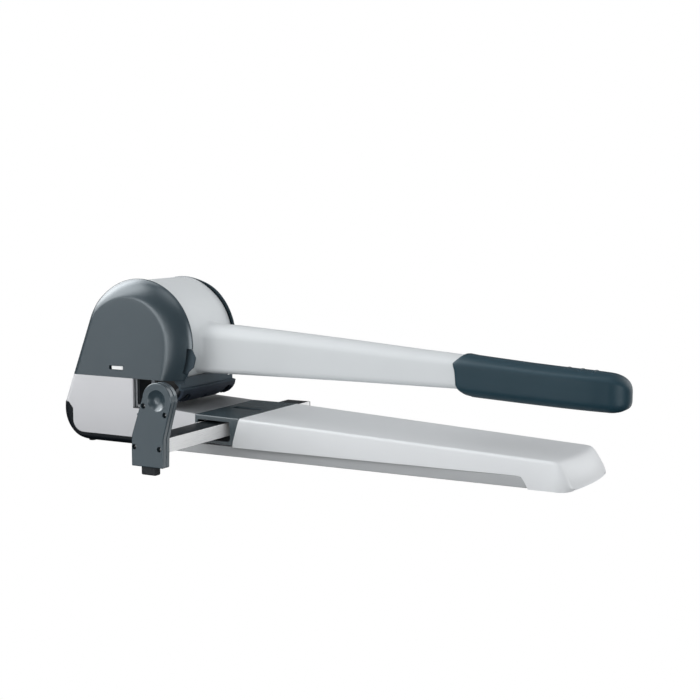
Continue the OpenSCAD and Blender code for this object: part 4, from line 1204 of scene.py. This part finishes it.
# ------------------------------------------------------------------ refined copies of CAD pieces
def refine(node, name, mat, body, width=0.3, seg=2, angle=30, smooth_angle=None, dissolve=0.6):
    """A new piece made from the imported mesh: welded, its flat faces joined, its edges rounded."""
    me = NODES[node].data.copy()
    me.name = name
    for a in list(me.attributes):
        if a.name == "custom_normal":
            me.attributes.remove(a)
    bm = bmesh.new()
    bm.from_mesh(me)
    bmesh.ops.remove_doubles(bm, verts=bm.verts, dist=3e-6)
    bmesh.ops.dissolve_limit(bm, angle_limit=math.radians(dissolve), verts=bm.verts, edges=bm.edges)
    bmesh.ops.recalc_face_normals(bm, faces=bm.faces)
    for f in bm.faces:
        f.smooth = True
    for e in bm.edges:
        e.smooth = True
    bm.to_mesh(me)
    bm.free()
    ob = link(name, me, mat)
    if width:
        bevel(ob, width, seg, angle)
    else:
        me.set_sharp_from_angle(angle=math.radians(smooth_angle or 30))
    return place(ob, body, node)


# ------------------------------------------------------------------ guard
refine("guard", "paper_guard_shield", "guard_plastic", "guard", 0.5, 3, 32)
for s in (-1, 1):
    # closes the outer side of the pocket behind each arch; these darker plates are painted shade, standing in for the
    # shade behind the arches
    side = arc(AX, AZ, 71.4, -54, -39, 8) + arc(AX, AZ, 79.6, -41, -52, 8)
    place(poly_prism("guard_arch_shade_plate_" + ("left" if s > 0 else "right"), side, [], "y", min(s * 49.4, s * 50.4), max(s * 49.4, s * 50.4), "dark_plastic"), "guard")
refine("backstop", "paper_backstop_wall", "dark_plastic", "base", 0.4, 2, 30)


# ------------------------------------------------------------------ guide: rail and bracket
def rail():
    x0, x1, zt_, zb = 73.8, 104.2, 35.5, 21.5
    # the rail's near-white finish is partly painted reflection of the bright housing
    ob = poly_prism("guide_rail_profile",
                    [(x0, zb), (x0 + 1.9, zb), (x0 + 1.9, zt_ - 2.1), (x1 - 1.9, zt_ - 2.1), (x1 - 1.9, zb), (x1, zb), (x1, zt_), (x1 - 1.1, zt_), (x1 - 1.1, zt_ - 0.3), (x0 + 1.1, zt_ - 0.3), (x0 + 1.1, zt_), (x0, zt_)], [], "y", -170, 119, "rail_aluminium")
    return bevel(ob, 0.3, 3, 30)


place(rail(), "guide", "rail")
# painted reflection: a thin dark strip set into the rail's top, standing in for the dark surroundings mirrored in the
# polished top
reflection_strip_piece = poly_prism("guide_rail_dark_reflection_strip", [(74.98, -163.7), (103.02, -163.7), (103.02, 118.8), (74.98, 118.8)], [], "z", 35.24, 35.46, "dark_plastic")
place(bevel(reflection_strip_piece, 0.06, 2, 30), "guide")
refine("rail_end_cap", "guide_rail_end_cap", "dark_plastic", "guide", 0.4, 3, 30)


def bracket_outline(o=0.0):
    c, r = (103.0, 75.3), 17.3 - o
    # right side tangent: from (120.2,74) down; left side tangent to the circle
    pts = arc(c[0], c[1], r, -8, 172, 40)
    pts = pts + [(86.3 + o, 72.0)] if False else pts
    left = [(72.4 + o, 39.0), (71.8 + o, 24.0), (71.8 + o, 8.4 + o)]
    right = [(109.4 - o, 8.4 + o), (109.9 - o, 24.0), (110.2 - o, 37.0)]
    return pts + left + right


SCREWS = [(87, 69), (112.4, 61.6), (75.4, 27.6), (105.4, 27.2)]


def bracket_half(name, y0, y1, front):
    ob = poly_prism(name, bracket_outline(), [], "y", y0, y1, "slate_cover")
    bevel(ob, 0.95 if front else 0.9, 4, 22, weighted=False)
    bake(ob)
    tools = []
    for k, p in enumerate(SCREWS):
        if front:
            tools.append(rod("tool_s%d" % k, "y", p, 2.75, y0 - 2, y0 + 3.6, "steel", 32))
    tools.append(poly_prism("tool_r", [(73.75, 21.45), (104.25, 21.45), (104.25, 35.55), (73.75, 35.55)], [], "y", y0 - 5 if not front else -170.05, y1 + 5, "steel"))
    tools.append(poly_prism("tool_f", [(82.0, 0), (100.0, 0), (100.0, 16), (82.0, 16)], [], "y", -174.2, -165.0, "steel"))
    if front:
        # thumb dimple: a shallow bowl
        bm = bmesh.new()
        bmesh.ops.create_uvsphere(bm, u_segments=96, v_segments=64, radius=18 * MM)
        me = bpy.data.meshes.new("tool_d")
        bm.to_mesh(me)
        bm.free()
        t = bpy.data.objects.new("tool_dimple", me)
        scene.collection.objects.link(t)
        t.location = Vector((103.0, y0 - 14.6, 75.3)) * MM
        t.rotation_euler = (math.pi / 2, 0, 0)
        tools.append(t)
    cut(ob, tools, 32)
    w = ob.modifiers.new("normals", "WEIGHTED_NORMAL")
    w.keep_sharp = True
    return ob


place(bracket_half("guide_bracket_front_half", -175.4, -169.68, True), "guide", "bracket_front")
place(bracket_half("guide_bracket_back_half", -169.52, -163.8, False), "guide", "bracket_back")


def screw_head(name, p, y, r, mat, bright=False):
    """A pan head with a cross recess, looking along -Y."""
    prof = [(0.0, 0.0), (r * 0.55, 0.02), (r * 0.8, 0.12), (r * 0.95, 0.35), (r, 0.7), (r, 1.3)]
    n = 36
    rr = []
    for rad, d in prof[1:]:
        rr.append([(p[0] + rad * math.cos(2 * math.pi * i / n), y + d, p[1] + rad * math.sin(2 * math.pi * i / n)) for i in range(n)])
    ob = rings(name, rr, mat, angle=40)
    tools = []
    for k in range(2):
        a = math.radians(25 + 90 * k)
        c, s = math.cos(a), math.sin(a)
        L, W = r * 0.62, r * 0.13
        q = [(p[0] + L * c - W * s, p[1] + L * s + W * c), (p[0] - L * c - W * s, p[1] - L * s + W * c), (p[0] - L * c + W * s, p[1] - L * s - W * c), (p[0] + L * c + W * s, p[1] + L * s - W * c)]
        tools.append(poly_prism("tool_x%d" % k, q, [], "y", y - 1, y + 0.9, "steel"))
    return cut(ob, tools, 35)


heads = [screw_head("bracket_screw_head_%d" % (k + 1), p, -173.3, 2.55, "steel_black") for k, p in enumerate(SCREWS)]
for h in heads:
    place(h, "guide", "bracket_screws")
for k, p in enumerate(SCREWS):
    place(rod("bracket_screw_shank_%d" % (k + 1), "y", p, 1.7, -172.9, -164.9, "steel", 20, 0.3), "guide")

foot = poly_prism("bracket_rest_foot", [(82.1, -174.0), (99.9, -174.0), (99.9, -165.2), (82.1, -165.2)], [], "z", 0.0, 15.9, "foot_rubber")
place(bevel(foot, 1.7, 4, 30), "guide", "bracket_foot")


# ------------------------------------------------------------------ lock tab, tray and feet
tab = poly_prism("lock_tab", [(-46.3, 83.3), (-31.3, 83.3), (-31.3, 87.2), (-46.3, 87.2)], [], "y", -53.25, -50.9, "indicator_white")
place(bevel(tab, 0.35, 3, 30), "lock")
slide = poly_prism("lock_slide_plate", [(-48, 80.5), (-30, 80.5), (-30, 104), (-48, 104)], [], "y", -50.85, -49.7, "dark_plastic")
place(bevel(slide, 0.3, 2, 30), "lock")
pin = rod("lock_pin", "y", (-38, 100), 2.0, -50, -33.2, "steel", 32, 0.4)
place(pin, "lock", "lock_slider")
refine("chip_tray", "chip_drawer", "dark_plastic", "tray", 0.6, 3, 32)


def foot_disc(name, x, y, r, h):
    prof = [(r * 0.86, 0.0), (r * 0.94, 0.12), (r, 0.5), (r, h * 0.75), (r * 0.97, h)]
    n = 40
    return rings(name, [[(x + q * math.cos(2 * math.pi * i / n), y + q * math.sin(2 * math.pi * i / n), z) for i in range(n)] for q, z in prof], "foot_rubber", angle=40)


k = 0
for s in (-1, 1):
    for x, y, r, h in ((-83.5, 42, 4, 2.0), (150, 42, 6, 3.0), (456, 44, 5, 1.6)):
        k += 1
        ob = foot_disc("rubber_foot_%d" % k, x, s * y, r, h)
        place(ob, "base", *(["rubber_feet"] if k == 1 else []))
refine("rest_pad", "middle_rest_pad", "foot_rubber", "base", 0.5, 3, 30)

# ------------------------------------------------------------------ inner pieces keep their CAD form with rounded edges
# the die bushes take the darkened tool steel, a painted shade
for node, mat, body, wd in (
        ("base_frame", "steel", "base", 0.3), ("side_frame_left", "steel", "base", 0.25), ("side_frame_right", "steel", "base", 0.25),
        ("guide_plate", "steel", "base", 0.35), ("tie_rods", "steel", "base", 0.3), ("shaft_bushes", "bronze", "base", 0.2), ("guide_bushes", "bronze", "base", 0.25),
        ("die_bushes", "tool_steel", "base", 0.2), ("main_shaft", "steel", "base", 0.3), ("shroud_left", "dark_plastic", "base", 0.3), ("shroud_right", "dark_plastic", "base", 0.3),
        ("rail_guide", "dark_plastic", "base", 0.4), ("lever_core", "steel", "lever", 0.4), ("crosshead", "steel", "carriage", 0.4),
        ("tie_rod_nuts", "steel", "base", 0.15), ("shaft_clips", "spring_steel", "base", 0.1), ("latch_plate", "steel", "lever", 0.2),
        ("brake_spring", "spring_steel", "base", 0.1), ("housing_screws", "steel", "base", 0.2), ("lever_screws", "steel", "lever", 0.2), ("rack_screws", "steel", "carriage", 0.2)):
    refine(node, node + "_finished", mat, body, wd, 2, 32)
# the punch pins take the darkened tool steel, a painted shade
for node, mat, body in (("pinion_left", "steel", "lever"), ("pinion_right", "steel", "lever"), ("rack_left", "steel", "carriage"), ("rack_right", "steel", "carriage"),
                        ("punch_pins", "tool_steel", "carriage")):
    refine(node, node + "_finished", mat, body, 0.12, 1, 32)
refine("return_spring", "return_spring_coil", "spring_steel", "base", 0, smooth_angle=60, dissolve=0.01)
